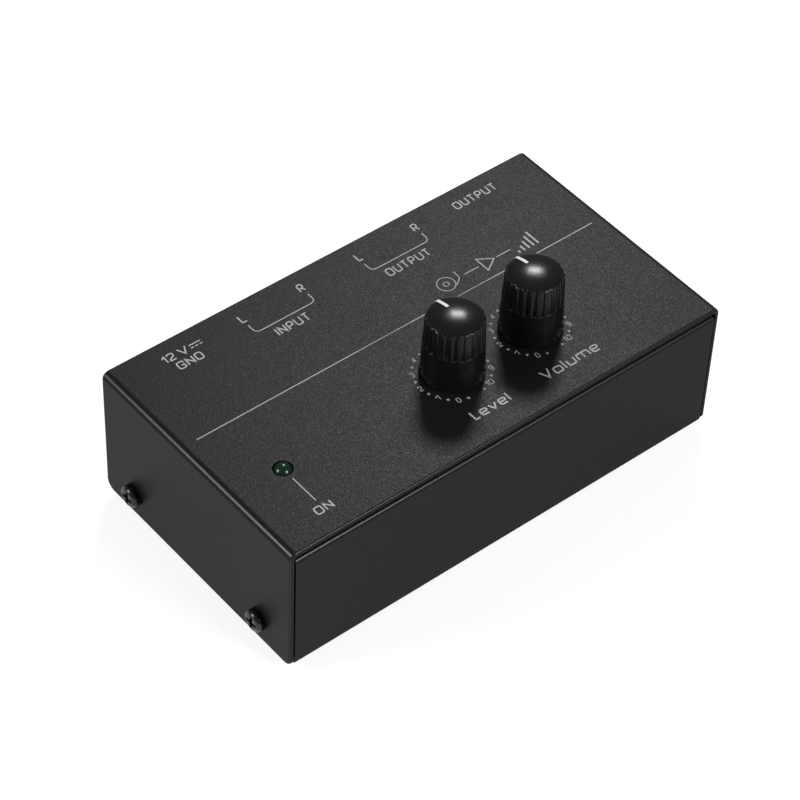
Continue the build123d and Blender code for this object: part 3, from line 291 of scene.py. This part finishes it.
def nickel():
    """Bright nickel on turned brass: mirror-like and slightly warm, with faint turning lines round the Y
    axis."""
    turning = (0.25, 3.0, 0.25)
    return worked_metal("nickel", "#c4c1b8", "#d6d3ca", 0.12, 0.26, 0.25 * MM, 0.003 * MM, turning)


def brass():
    """Plain turned brass of the spring contacts: yellow, a little dulled by handling."""
    turning = (0.3, 3.0, 0.3)
    return worked_metal("brass", "#a98243", "#c9a25a", 0.22, 0.4, 0.3 * MM, 0.004 * MM, turning)


def zinc_steel():
    """Bright zinc on stamped steel: pale, with the soft spangle that the plate leaves."""
    return worked_metal("zinc_steel", "#9a9da2", "#b9bcc0", 0.28, 0.45, 0.7 * MM, 0.006 * MM)


def die_cast_zinc():
    """Die-cast zinc of the bushings: grey, with the fine bloom of the casting skin."""
    return worked_metal("die_cast_zinc", "#83868a", "#9c9fa3", 0.35, 0.55, 0.5 * MM, 0.01 * MM)


def aluminium():
    """Turned aluminium of the shafts: pale, with turning lines round the Z axis."""
    turning = (0.25, 0.25, 4.0)
    return worked_metal("aluminium", "#b4b5b8", "#cdced0", 0.25, 0.4, 0.25 * MM, 0.006 * MM, turning)


def tinned_pins():
    """Dipped tin on copper pins: dull silver, slightly lumpy."""
    return worked_metal("tinned_pins", "#a9aaac", "#c2c3c4", 0.3, 0.5, 0.5 * MM, 0.01 * MM)


def black_screw():
    """Black zinc on steel screws: the passivated film is nearly black and semi-gloss, so only edges and the
    recess catch light, and no metal shows through."""
    material, tree, shader, place = blank_finish("black_screw", Metallic=0.0, Specular_IOR_Level=0.6)
    grain = add_node(tree, "ShaderNodeTexNoise", {"Vector": place, "Scale": 1 / (0.2 * MM), "Detail": 3.0})
    colour = add_node(
        tree,
        "ShaderNodeMix",
        {0: grain.outputs["Fac"], 6: linear("#070708"), 7: linear("#0e0e10")},
        data_type="RGBA",
    )
    tree.links.new(colour.outputs[2], shader.inputs["Base Color"])
    rough = add_node(
        tree, "ShaderNodeMapRange", {"Value": grain.outputs["Fac"], "To Min": 0.16, "To Max": 0.26}
    )
    tree.links.new(rough.outputs["Result"], shader.inputs["Roughness"])
    bump = add_node(
        tree, "ShaderNodeBump", {"Height": grain.outputs["Fac"], "Distance": 0.01 * MM, "Strength": 0.5}
    )
    tree.links.new(bump.outputs["Normal"], shader.inputs["Normal"])
    return material


def green_lens():
    """Green-tinted clear epoxy of the unlit light: it lets some light in, so its depth is dark green with a
    paler, milky core, and its skin is glossy."""
    material, tree, shader, place = blank_finish(
        "green_lens", Roughness=0.18, IOR=1.54, Transmission_Weight=0.35, Specular_IOR_Level=0.4
    )
    grain = add_node(tree, "ShaderNodeTexNoise", {"Vector": place, "Scale": 1 / (1.2 * MM), "Detail": 2.0})
    colour = add_node(
        tree,
        "ShaderNodeMix",
        {0: grain.outputs["Fac"], 6: linear("#052415"), 7: linear("#0a3821")},
        data_type="RGBA",
    )
    tree.links.new(colour.outputs[2], shader.inputs["Base Color"])
    bump = add_node(
        tree, "ShaderNodeBump", {"Height": grain.outputs["Fac"], "Distance": 0.01 * MM, "Strength": 0.3}
    )
    tree.links.new(bump.outputs["Normal"], shader.inputs["Normal"])
    return material


def solder_mask():
    """Green solder mask on woven glass epoxy: glossy, with the glass's threads, 0.5 mm wide, just showing. A
    wave's band and gap fill 0.314 of 1 / Scale, so two threads take 1 mm."""
    material, tree, shader, place = blank_finish("solder_mask", Roughness=0.28, Specular_IOR_Level=0.5)
    bands = {"Vector": place, "Scale": 1 / (3.2 * MM), "Distortion": 0.4}
    weft = add_node(tree, "ShaderNodeTexWave", bands)
    warp = add_node(tree, "ShaderNodeTexWave", bands, bands_direction="Y")
    weave = add_node(
        tree, "ShaderNodeMath", {0: weft.outputs["Fac"], 1: warp.outputs["Fac"]}, operation="MULTIPLY"
    )
    colour = add_node(
        tree,
        "ShaderNodeMix",
        {0: weave.outputs["Value"], 6: linear("#0c3a1e"), 7: linear("#135029")},
        data_type="RGBA",
    )
    tree.links.new(colour.outputs[2], shader.inputs["Base Color"])
    bump = add_node(
        tree, "ShaderNodeBump", {"Height": weave.outputs["Value"], "Distance": 0.01 * MM, "Strength": 0.4}
    )
    tree.links.new(bump.outputs["Normal"], shader.inputs["Normal"])
    return material


FINISHES = {
    make.__name__: make()
    for make in (
        powder_coat,
        black_screw,
        zinc_steel,
        rubber,
        knob_plastic,
        white_inlay,
        aluminium,
        die_cast_zinc,
        phenolic,
        tinned_pins,
        green_lens,
        nylon,
        black_moulding,
        nickel,
        white_insulator,
        red_insulator,
        brass,
        solder_mask,
        black_epoxy,
        capacitor_sleeve,
        film_capacitor,
        resistor_lacquer,
    )
}


def finish_with(piece, material):
    """Give a piece this one material."""
    piece.data.materials.clear()
    piece.data.materials.append(material)


for node, slot_name in SLOT_OF.items():
    finish_with(NODES[node], FINISHES[slot_name])


# ---------------------------------------------------------------- working by hand on meshes
def only(*pieces):
    """Select these pieces alone, with the first one active."""
    bpy.ops.object.select_all(action="DESELECT")
    for piece in pieces:
        piece.select_set(True)
    bpy.context.view_layer.objects.active = pieces[0]


def settle(piece):
    """Put a piece's place, turn and size into its mesh, so that its object sits at the origin."""
    only(piece)
    bpy.ops.object.transform_apply(location=True, rotation=True, scale=True)


def eased(node, width, turns=2, sharp=28.0, smooth=40.0, share=None):
    """Replace a CAD node by a copy whose edges are broken by this width, as those of a tumbled, coated or
    moulded part are. Edges bent by more than the sharp angle are broken, and those by less than the smooth
    angle are shaded smooth. With a share, each edge takes the part of the width that this function gives for
    its ends."""
    piece = NODES[node].copy()
    piece.data = NODES[node].data.copy()
    piece.name = node + "_eased"
    piece.parent = None
    for key in list(piece.keys()):
        del piece[key]
    bpy.context.scene.collection.objects.link(piece)
    only(piece)
    bpy.ops.object.mode_set(mode="EDIT")
    bpy.ops.mesh.select_all(action="SELECT")
    bpy.ops.mesh.remove_doubles(threshold=0.002 * MM)
    bpy.ops.mesh.dissolve_limited(angle_limit=math.radians(0.2))
    bpy.ops.mesh.select_all(action="DESELECT")
    bpy.ops.object.mode_set(mode="OBJECT")
    bevel = piece.modifiers.new("edges", "BEVEL")
    bevel.width = width
    bevel.segments = turns
    bevel.limit_method = "ANGLE"
    bevel.angle_limit = math.radians(sharp)
    if share:
        mesh = piece.data
        sides = {}
        for face in mesh.polygons:
            for key in face.edge_keys:
                sides.setdefault(key, []).append(face.normal)
        weights = mesh.attributes.new("bevel_weight_edge", "FLOAT", "EDGE")
        for edge, weight in zip(mesh.edges, weights.data):
            ends = [mesh.vertices[i].co for i in edge.vertices]
            first, second = sides[edge.key]
            if first.angle(second) > math.radians(sharp):
                weight.value = min(share(end) for end in ends)
        bevel.limit_method = "WEIGHT"
    bevel.use_clamp_overlap = False
    bpy.ops.object.modifier_apply(modifier="edges")
    bpy.ops.object.shade_smooth_by_angle(angle=math.radians(smooth))
    flat = piece.modifiers.new("flat_faces", "WEIGHTED_NORMAL")
    flat.keep_sharp = True
    bpy.ops.object.modifier_apply(modifier="flat_faces")
    finish_with(piece, FINISHES[SLOT_OF[node]])
    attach(piece, BODY_OF[node])
    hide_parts(node)


# The cover's sheet, the outer radius of its folds, and how near its cut edges a point counts as on the rim.
COVER_SHEET = 1.2 * MM
COVER_BEND = 2.0 * MM
RIM_BELT = 3.2 * MM


def cover_rim(point):
    """How far the cover's edge is rounded at this point: fully on the outer skin of the cut rim, where the
    blank was deburred, a little on its inner skin, and not at all at the holes."""
    if min(point.y - cover_low.y, cover_high.y - point.y, point.z - cover_low.z) > RIM_BELT:
        return 0.0
    side, under = cover_high.x - abs(point.x), cover_high.z - point.z
    depth = min(side, under)
    if max(side, under) < COVER_BEND:
        depth = COVER_BEND - math.hypot(COVER_BEND - side, COVER_BEND - under)
    return 1.0 if depth < COVER_SHEET / 2 else 0.3


eased("top_cover", 0.6 * MM, turns=4, share=cover_rim)
for node, width in {
    "base_tray": 0.2 * MM,
    "cover_screws": 0.1 * MM,
    "level_knob": 0.12 * MM,
    "volume_knob": 0.12 * MM,
    "input_jack_housing": 0.15 * MM,
    "output_jack_housing": 0.15 * MM,
    "phone_jack_housing": 0.15 * MM,
    "dc_jack_housing": 0.12 * MM,
    "phone_jack_nut": 0.12 * MM,
    "phone_jack_washer": 0.08 * MM,
    "ground_washer": 0.08 * MM,
    "ground_thumb_nut": 0.08 * MM,
    "ground_nut": 0.1 * MM,
    "rubber_feet": 0.4 * MM,
}.items():
    eased(node, width)


# ---------------------------------------------------------------- legends printed on the cover
# A squared, single-stroke alphabet drawn for this cover: each letter is its own width and centre lines, on a
# square from 0 to 1. A closed line ends with None.
LETTERS = {
    "D": (2.1, [[(0, 0), (1, 0), (1, 1), (0, 1), None]]),
    "G": (2.15, [[(1, 0.72), (1, 1), (0, 1), (0, 0), (1, 0), (1, 0.48), (0.52, 0.48)]]),
    "I": (0.45, [[(0, 0), (0, 1)]]),
    "L": (1.65, [[(0, 1), (0, 0), (1, 0)]]),
    "N": (2.1, [[(0, 0), (0, 1), (1, 0), (1, 1)]]),
    "O": (2.15, [[(0, 0), (1, 0), (1, 1), (0, 1), None]]),
    "P": (1.9, [[(0, 0), (0, 1), (1, 1), (1, 0.42), (0, 0.42)]]),
    "R": (1.9, [[(0, 0), (0, 1), (1, 1), (1, 0.42), (0, 0.42)], [(0.5, 0.42), (1, 0)]]),
    "T": (1.95, [[(0, 1), (1, 1)], [(0.5, 1), (0.5, 0)]]),
    "U": (2.05, [[(0, 1), (0, 0), (1, 0), (1, 1)]]),
    "V": (2.7, [[(0, 1), (0.5, 0), (1, 1)]]),
    "e": (2.2, [[(0, 0.5), (1, 0.5), (1, 1), (0, 1), (0, 0), (0.95, 0)]]),
    "l": (0.6, [[(0, 0), (0, 1)]]),
    "m": (3.6, [[(0, 0), (0, 1), (1, 1), (1, 0)], [(0.5, 1), (0.5, 0)]]),
    "o": (2.4, [[(0, 0), (1, 0), (1, 1), (0, 1), None]]),
    "u": (2.3, [[(0, 1), (0, 0), (1, 0), (1, 1)]]),
    "v": (2.2, [[(0, 1), (0.5, 0), (1, 1)]]),
    "0": (1.9, [[(0, 0), (1, 0), (1, 1), (0, 1), None]]),
    "1": (1.1, [[(0, 0.7), (1, 1), (1, 0)]]),
    "2": (1.9, [[(0, 0.8), (0, 1), (1, 1), (1, 0.55), (0, 0.2), (0, 0), (1, 0)]]),
    "3": (1.9, [[(0, 1), (1, 1), (1, 0), (0, 0)], [(0.25, 0.5), (1, 0.5)]]),
    "4": (2.0, [[(0.72, 0), (0.72, 1), (0, 0.3), (1, 0.3)]]),
    "5": (1.9, [[(1, 1), (0, 1), (0, 0.55), (1, 0.55), (1, 0), (0, 0)]]),
    "6": (1.9, [[(0.95, 1), (0, 1), (0, 0), (1, 0), (1, 0.55), (0, 0.55)]]),
    "7": (1.8, [[(0, 1), (1, 1), (0.35, 0)]]),
    "8": (1.9, [[(0, 0), (1, 0), (1, 1), (0, 1), None], [(0, 0.52), (1, 0.52)]]),
    "9": (1.9, [[(0.05, 0), (1, 0), (1, 1), (0, 1), (0, 0.45), (1, 0.45)]]),
}
# Small letters are lower than capitals by this share. The gap is in the units of the letters' widths.
SMALL_LETTERS = "emouv"
SMALL_HEIGHT = 0.72
LETTER_GAP = 0.42
SQUARE_CORNERS = "LNTVv147"
CORNER_STEPS = 4
INK_HEIGHT = 0.05 * MM
prints = []


def square_paths(points, closed, width):
    """The lines between these points one by one. At each corner both lines run on by half the pen's width, so
    that the corner is filled out."""
    paths = []
    for start, end in zip(points, points[1:] + points[:1] * closed):
        over = (end - start).normalized() * width / 2
        paths.append([start - over * (start != points[0]), end + over * (end != points[-1])])
    return paths


def round_path(points, closed, corner):
    """The line through these points, with each corner rounded over this length of both its sides."""
    path = []
    for i, here in enumerate(points):
        if not closed and i in (0, len(points) - 1):
            path.append(here)
            continue
        before, after = points[i - 1], points[(i + 1) % len(points)]
        reach = min(corner, (before - here).length / 2, (after - here).length / 2)
        start = here + (before - here).normalized() * reach
        end = here + (after - here).normalized() * reach
        for step in range(CORNER_STEPS + 1):
            t = step / CORNER_STEPS
            path.append((1 - t) ** 2 * start + 2 * t * (1 - t) * here + t * t * end)
    return path


def stroke(name, lines, width, corner):
    """Print these lines, each a list of points on the cover in millimetres from its middle, with a pen of
    this width. Corners are rounded by the corner length, or square where it is 0."""
    curve = bpy.data.curves.new(name, "CURVE")
    curve.dimensions = "3D"
    curve.bevel_depth = width * MM / 2
    curve.bevel_resolution = 1
    curve.use_fill_caps = True
    for line in lines:
        closed = line[-1] is None
        points = [Vector((x, y)) for x, y in (line[:-1] if closed else line)]
        rounded = corner > 0
        paths = [round_path(points, closed, corner)] if rounded else square_paths(points, closed, width)
        for path in paths:
            spline = curve.splines.new("POLY")
            spline.points.add(len(path) - 1)
            for point, place in zip(spline.points, path):
                point.co = (place.x * MM, MIDDLE_Y + place.y * MM, 0, 1)
            spline.use_cyclic_u = closed and rounded
    piece = bpy.data.objects.new(name, curve)
    bpy.context.scene.collection.objects.link(piece)
    only(piece)
    bpy.ops.object.convert(target="MESH")
    piece = bpy.context.active_object
    piece.scale.z = INK_HEIGHT / (width * MM)
    piece.location.z = TOP_Z
    settle(piece)
    prints.append(piece)


def word(name, text, across, up, pen, corner=0.6):
    """Print a word so that it fills the width across, from left to right, and the height up, from low to
    high."""
    (left, right), (low, high) = across, up
    widths = [LETTERS[letter][0] for letter in text]
    fit = (right - left) / (sum(widths) + LETTER_GAP * (len(text) - 1))
    x = left
    lines, squares = [], []
    for letter, width in zip(text, widths):
        inner = max(width * fit - pen, 0)
        height = (high - low) * (SMALL_HEIGHT if letter in SMALL_LETTERS else 1) - pen
        for line in LETTERS[letter][1]:
            placed = [
                point and (x + pen / 2 + point[0] * inner, low + pen / 2 + point[1] * height)
                for point in line
            ]
            (squares if letter in SQUARE_CORNERS else lines).append(placed)
        x += (width + LETTER_GAP) * fit
    if lines:
        stroke(name, lines, pen, corner)
    if squares:
        stroke(name + "_square", squares, pen, 0)


def ring(x, y, radius, points=28):
    """A closed circle as a line for the pen."""
    angles = [2 * math.pi * i / points for i in range(points)]
    return [(x + radius * math.cos(angle), y + radius * math.sin(angle)) for angle in angles] + [None]


# Places are in millimetres from the cover's middle, X to the right and Y to the rear. Pens are line widths.
WORD_PEN = 0.42
CONTROL_PEN = 0.5
RULE_PEN = 0.3
SIGN_PEN = 0.36
SYMBOL_PEN = 0.34
BAR_PEN = 0.55
DIAL_PEN = 0.24
DOT_PEN = 0.55
SIDE_ROW = (30.05, 32.9)
SUPPLY_ROW = (30, 32.7)

for name, text, across, up, pen in (
    ("input_word", "INPUT", (-25.5, -15.4), (21.1, 24), WORD_PEN),
    ("output_word", "OUTPUT", (9.2, 23.0), (21.05, 23.9), WORD_PEN),
    ("phone_word", "OUTPUT", (38.5, 52.4), (29.9, 32.7), WORD_PEN),
    ("ground_word", "GND", (-51.7, -44.2), (26.25, 28.95), WORD_PEN),
    ("on_word", "ON", (-54.6, -49.55), (-31.1, -28.45), WORD_PEN),
    ("input_left_letter", "L", (-30.2, -28.5), SIDE_ROW, WORD_PEN),
    ("input_right_letter", "R", (-12.0, -10.2), SIDE_ROW, WORD_PEN),
    ("output_left_letter", "L", (6.45, 8.0), SIDE_ROW, WORD_PEN),
    ("output_right_letter", "R", (24.7, 26.5), SIDE_ROW, WORD_PEN),
    ("supply_number", "12", (-53.5, -49.9), SUPPLY_ROW, WORD_PEN),
    ("supply_unit", "V", (-48.7, -46.0), SUPPLY_ROW, WORD_PEN),
    ("level_word", "Level", (-5.95, 5.75), (-30, -26.8), CONTROL_PEN),
    ("volume_word", "Volume", (16.2, 34.2), (-30.1, -26.75), CONTROL_PEN),
):
    word(name, text, across, up, pen)

# The direct current sign: one long dash over three short ones.
SIGN_LEFT, SIGN_RIGHT, SIGN_DASH, SIGN_STEP = -45.3, -41.9, 0.8, 1.3
long_dash = [(SIGN_LEFT, 31.85), (SIGN_RIGHT, 31.85)]
short_dashes = [
    [(SIGN_LEFT + SIGN_STEP * i, 30.85), (SIGN_LEFT + SIGN_STEP * i + SIGN_DASH, 30.85)] for i in range(3)
]
stroke("direct_current_sign", [long_dash] + short_dashes, SIGN_PEN, 0)

# Brackets under the letters of each pair of sockets, and the rule across the cover.
BRACKET_LOW, BRACKET_HIGH, BRACKET_CORNER = 25.5, 28.7, 2.0
for name, left, right in (("input_bracket", -29.5, -11.0), ("output_bracket", 6.95, 25.6)):
    legs = [(left, BRACKET_HIGH), (left, BRACKET_LOW), (right, BRACKET_LOW), (right, BRACKET_HIGH)]
    stroke(name, [legs], RULE_PEN, BRACKET_CORNER)
RULE_Y = 5.4
stroke("rule_line", [[(-62.5, RULE_Y), (62.7, RULE_Y)]], RULE_PEN, 0)

# A plain picture of what the box does: a record and its arm, an amplifier, and a level that has grown.
PICTURE_Y, PICTURE_LOW, PICTURE_HIGH = 10.5, 8.0, 13.0
DISC_X = 18.6
stroke("disc_outline", [ring(DISC_X, PICTURE_Y, 2.45), ring(DISC_X, PICTURE_Y, 0.75)], SYMBOL_PEN, 0.2)
stroke("disc_arm", [[(22.9, 12.9), (22.9, 10.4), (20.6, 8.6)]], SYMBOL_PEN, 0.9)
stroke("signal_lines", [[(left, PICTURE_Y), (left + 4.6, PICTURE_Y)] for left in (24.6, 35.0)], RULE_PEN, 0)
stroke("gain_triangle", [[(30.3, PICTURE_LOW), (30.3, PICTURE_HIGH), (34.2, PICTURE_Y), None]], SYMBOL_PEN, 0)
BAR_X, BAR_STEP, BAR_HEIGHT, BAR_GROWTH = 41.0, 1.5, 0.9, 1.05
bars = [
    [(BAR_X + BAR_STEP * i, PICTURE_LOW), (BAR_X + BAR_STEP * i, PICTURE_LOW + BAR_HEIGHT + BAR_GROWTH * i)]
    for i in range(5)
]
stroke("output_bars", bars, BAR_PEN, 0)
stroke("light_leader", [[(-52.1, -18.1), (-52.1, -26.9)]], RULE_PEN, 0)

# Dials: the numbers 0 to 10 every 30 degrees clockwise, with a dot in each gap and at both ends. They are
# printed a little behind the axes of the controls.
DIAL_STEP = 30
DIAL_BOTTOM = 270
DIAL_SHIFT = 0.15
NUMBER_RADIUS, DIGIT_HALF_WIDTH, TEN_HALF_WIDTH, DIGIT_HALF_HEIGHT = 9.75, 0.55, 1.15, 0.85
DOT_CIRCLE, DOT_RADIUS = 9.6, 0.12


def dial(name, x, y):
    """Print the dial of a control round this point."""
    for number in range(11):
        angle = math.radians(DIAL_BOTTOM - DIAL_STEP * (number + 1))
        centre_x, centre_y = x + NUMBER_RADIUS * math.cos(angle), y + NUMBER_RADIUS * math.sin(angle)
        half = TEN_HALF_WIDTH if number == 10 else DIGIT_HALF_WIDTH
        across = (centre_x - half, centre_x + half)
        up = (centre_y - DIGIT_HALF_HEIGHT, centre_y + DIGIT_HALF_HEIGHT)
        word(f"{name}_{number}", str(number), across, up, DIAL_PEN, 0.35)
    angles = [math.radians(DIAL_BOTTOM - DIAL_STEP * (i + 0.5)) for i in range(12)]
    dots = [ring(x + DOT_CIRCLE * math.cos(a), y + DOT_CIRCLE * math.sin(a), DOT_RADIUS, 6) for a in angles]
    stroke(f"{name}_dots", dots, DOT_PEN, 0.05)


for joint in ("level_turn", "volume_turn"):
    axis_x, axis_y = AXIS_OF[joint][0] / MM, (AXIS_OF[joint][1] - MIDDLE_Y) / MM
    dial(joint + "_dial", axis_x, axis_y + DIAL_SHIFT)

only(*prints)
bpy.ops.object.join()
legends = bpy.context.active_object
legends.name = "cover_legends"
finish_with(legends, screen_ink())
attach(legends, "case")


# ---------------------------------------------------------------- table, lights and camera
def white_paper():
    """Matt white studio paper. It glows where it is seen, also in gloss and through glass, so that the
    background is white, and the object's shadow stays on it. In gloss and glass its glow is painted dimmer
    towards the rear right, a painted shade on what the object's walls mirror, and it sheds none of this glow on
    matt surfaces."""
    material = bpy.data.materials.new("white_paper")
    material.use_nodes = True
    tree = material.node_tree
    shader = tree.nodes["Principled BSDF"]
    shader.inputs["Base Color"].default_value = linear("#a8a8a8")
    shader.inputs["Roughness"].default_value = 0.9
    shader.inputs["Specular IOR Level"].default_value = 0.1
    place = add_node(tree, "ShaderNodeTexCoord").outputs["Object"]
    reach = add_node(tree, "ShaderNodeVectorMath", {0: place}, operation="LENGTH")
    fade = add_node(
        tree,
        "ShaderNodeMapRange",
        {"Value": reach.outputs["Value"], "From Min": 0.3, "From Max": 1.5, "To Min": 0.8, "To Max": 1.0},
    )
    # Painted shade in reflections: the glow that gloss and glass see falls from 0.85 at the front left to 0.4 at
    # the rear right. This darkens the object's walls where they mirror the table.
    side = add_node(tree, "ShaderNodeVectorMath", {0: place, 1: (1, 1, 0)}, operation="DOT_PRODUCT")
    painted_reflection_shade = add_node(
        tree,
        "ShaderNodeMapRange",
        {"Value": side.outputs["Value"], "From Min": -0.15, "From Max": 0.05, "To Min": 0.85, "To Max": 0.4},
    )
    ray = add_node(tree, "ShaderNodeLightPath")
    share = add_node(
        tree,
        "ShaderNodeMapRange",
        {"Value": ray.outputs["Is Camera Ray"], "To Min": painted_reflection_shade.outputs["Result"], "To Max": 1.0},
    )
    level = add_node(
        tree, "ShaderNodeMath", {0: fade.outputs["Result"], 1: share.outputs["Result"]}, operation="MULTIPLY"
    )
    glow = add_node(
        tree, "ShaderNodeEmission", {"Color": linear("#ffffff"), "Strength": level.outputs["Value"]}
    )
    lit = add_node(tree, "ShaderNodeAddShader", {0: shader.outputs["BSDF"], 1: glow.outputs["Emission"]})
    seen = add_node(
        tree,
        "ShaderNodeMath",
        {0: ray.outputs["Is Camera Ray"], 1: ray.outputs["Is Glossy Ray"]},
        operation="MAXIMUM",
    )
    seen_through = add_node(
        tree,
        "ShaderNodeMath",
        {0: seen.outputs["Value"], 1: ray.outputs["Is Transmission Ray"]},
        operation="MAXIMUM",
    )
    mix = add_node(
        tree,
        "ShaderNodeMixShader",
        {0: seen_through.outputs["Value"], 1: shader.outputs["BSDF"], 2: lit.outputs["Shader"]},
    )
    tree.links.new(mix.outputs["Shader"], tree.nodes["Material Output"].inputs["Surface"])
    return material


bpy.ops.mesh.primitive_grid_add(x_subdivisions=4, y_subdivisions=4, size=6.0, location=(0, 0, 0))
table = bpy.context.active_object
table.name = "table_top"
finish_with(table, white_paper())

OBJECT_MIDDLE = Vector((0, MIDDLE_Y, 35 * MM))
LAMP_DISTANCE = 1.2


def softbox(name, toward, width, height, power):
    """A square-cornered studio lamp in this direction from the object, facing it."""
    lamp = bpy.data.lights.new(name, "AREA")
    lamp.shape = "RECTANGLE"
    lamp.size = width
    lamp.size_y = height
    lamp.energy = power
    holder = bpy.data.objects.new(name, lamp)
    bpy.context.scene.collection.objects.link(holder)
    direction = Vector(toward).normalized()
    holder.location = OBJECT_MIDDLE + direction * LAMP_DISTANCE
    holder.rotation_euler = direction.to_track_quat("Z", "Y").to_euler()


softbox("key_softbox", (0.49, 0.475, 0.733), 0.25, 0.22, 6.2)
softbox("left_softbox", (-0.8, 0.37, 0.47), 0.42, 0.42, 6.3)
softbox("front_softbox", (0.22, -0.81, 0.54), 0.42, 0.36, 7.6)


def studio_world():
    """A dim, even room light on the object, and white where the eye looks past the table."""
    world = bpy.data.worlds.new("studio")
    world.use_nodes = True
    tree = world.node_tree
    dim = tree.nodes["Background"]
    dim.inputs["Color"].default_value = linear("#ffffff")
    dim.inputs["Strength"].default_value = 0.2
    white = add_node(tree, "ShaderNodeBackground", {"Color": linear("#ffffff"), "Strength": 1.0})
    ray = add_node(tree, "ShaderNodeLightPath")
    mix = add_node(
        tree,
        "ShaderNodeMixShader",
        {0: ray.outputs["Is Camera Ray"], 1: dim.outputs["Background"], 2: white.outputs["Background"]},
    )
    tree.links.new(mix.outputs["Shader"], tree.nodes["World Output"].inputs["Surface"])
    return world


bpy.context.scene.world = studio_world()

# The camera stands off the front left corner, looks down on the top, and is tilted a little.
LENS_MM = 135.2
SENSOR_MM = 36.0
CAMERA_PLACE = Vector((-346.94, -398.57, 558.07)) * MM
azimuth, elevation, roll = (math.radians(a) for a in (-41.167, 45.748, 2.675))

lens = bpy.data.cameras.new("product_camera")
lens.lens = LENS_MM
lens.sensor_width = SENSOR_MM
lens.clip_end = 20.0
camera = bpy.data.objects.new("product_camera", lens)
bpy.context.scene.collection.objects.link(camera)
back = Vector(
    (
        math.sin(azimuth) * math.cos(elevation),
        -math.cos(azimuth) * math.cos(elevation),
        math.sin(elevation),
    )
)
sideways = Vector((math.cos(azimuth), math.sin(azimuth), 0))
upward = back.cross(sideways)
camera_x = math.cos(roll) * sideways + math.sin(roll) * upward
camera_y = -math.sin(roll) * sideways + math.cos(roll) * upward
turn = Matrix((camera_x, camera_y, back)).transposed().to_4x4()
camera.matrix_world = Matrix.Translation(CAMERA_PLACE) @ turn
bpy.context.scene.camera = camera
bpy.context.scene.view_settings.view_transform = "Standard"
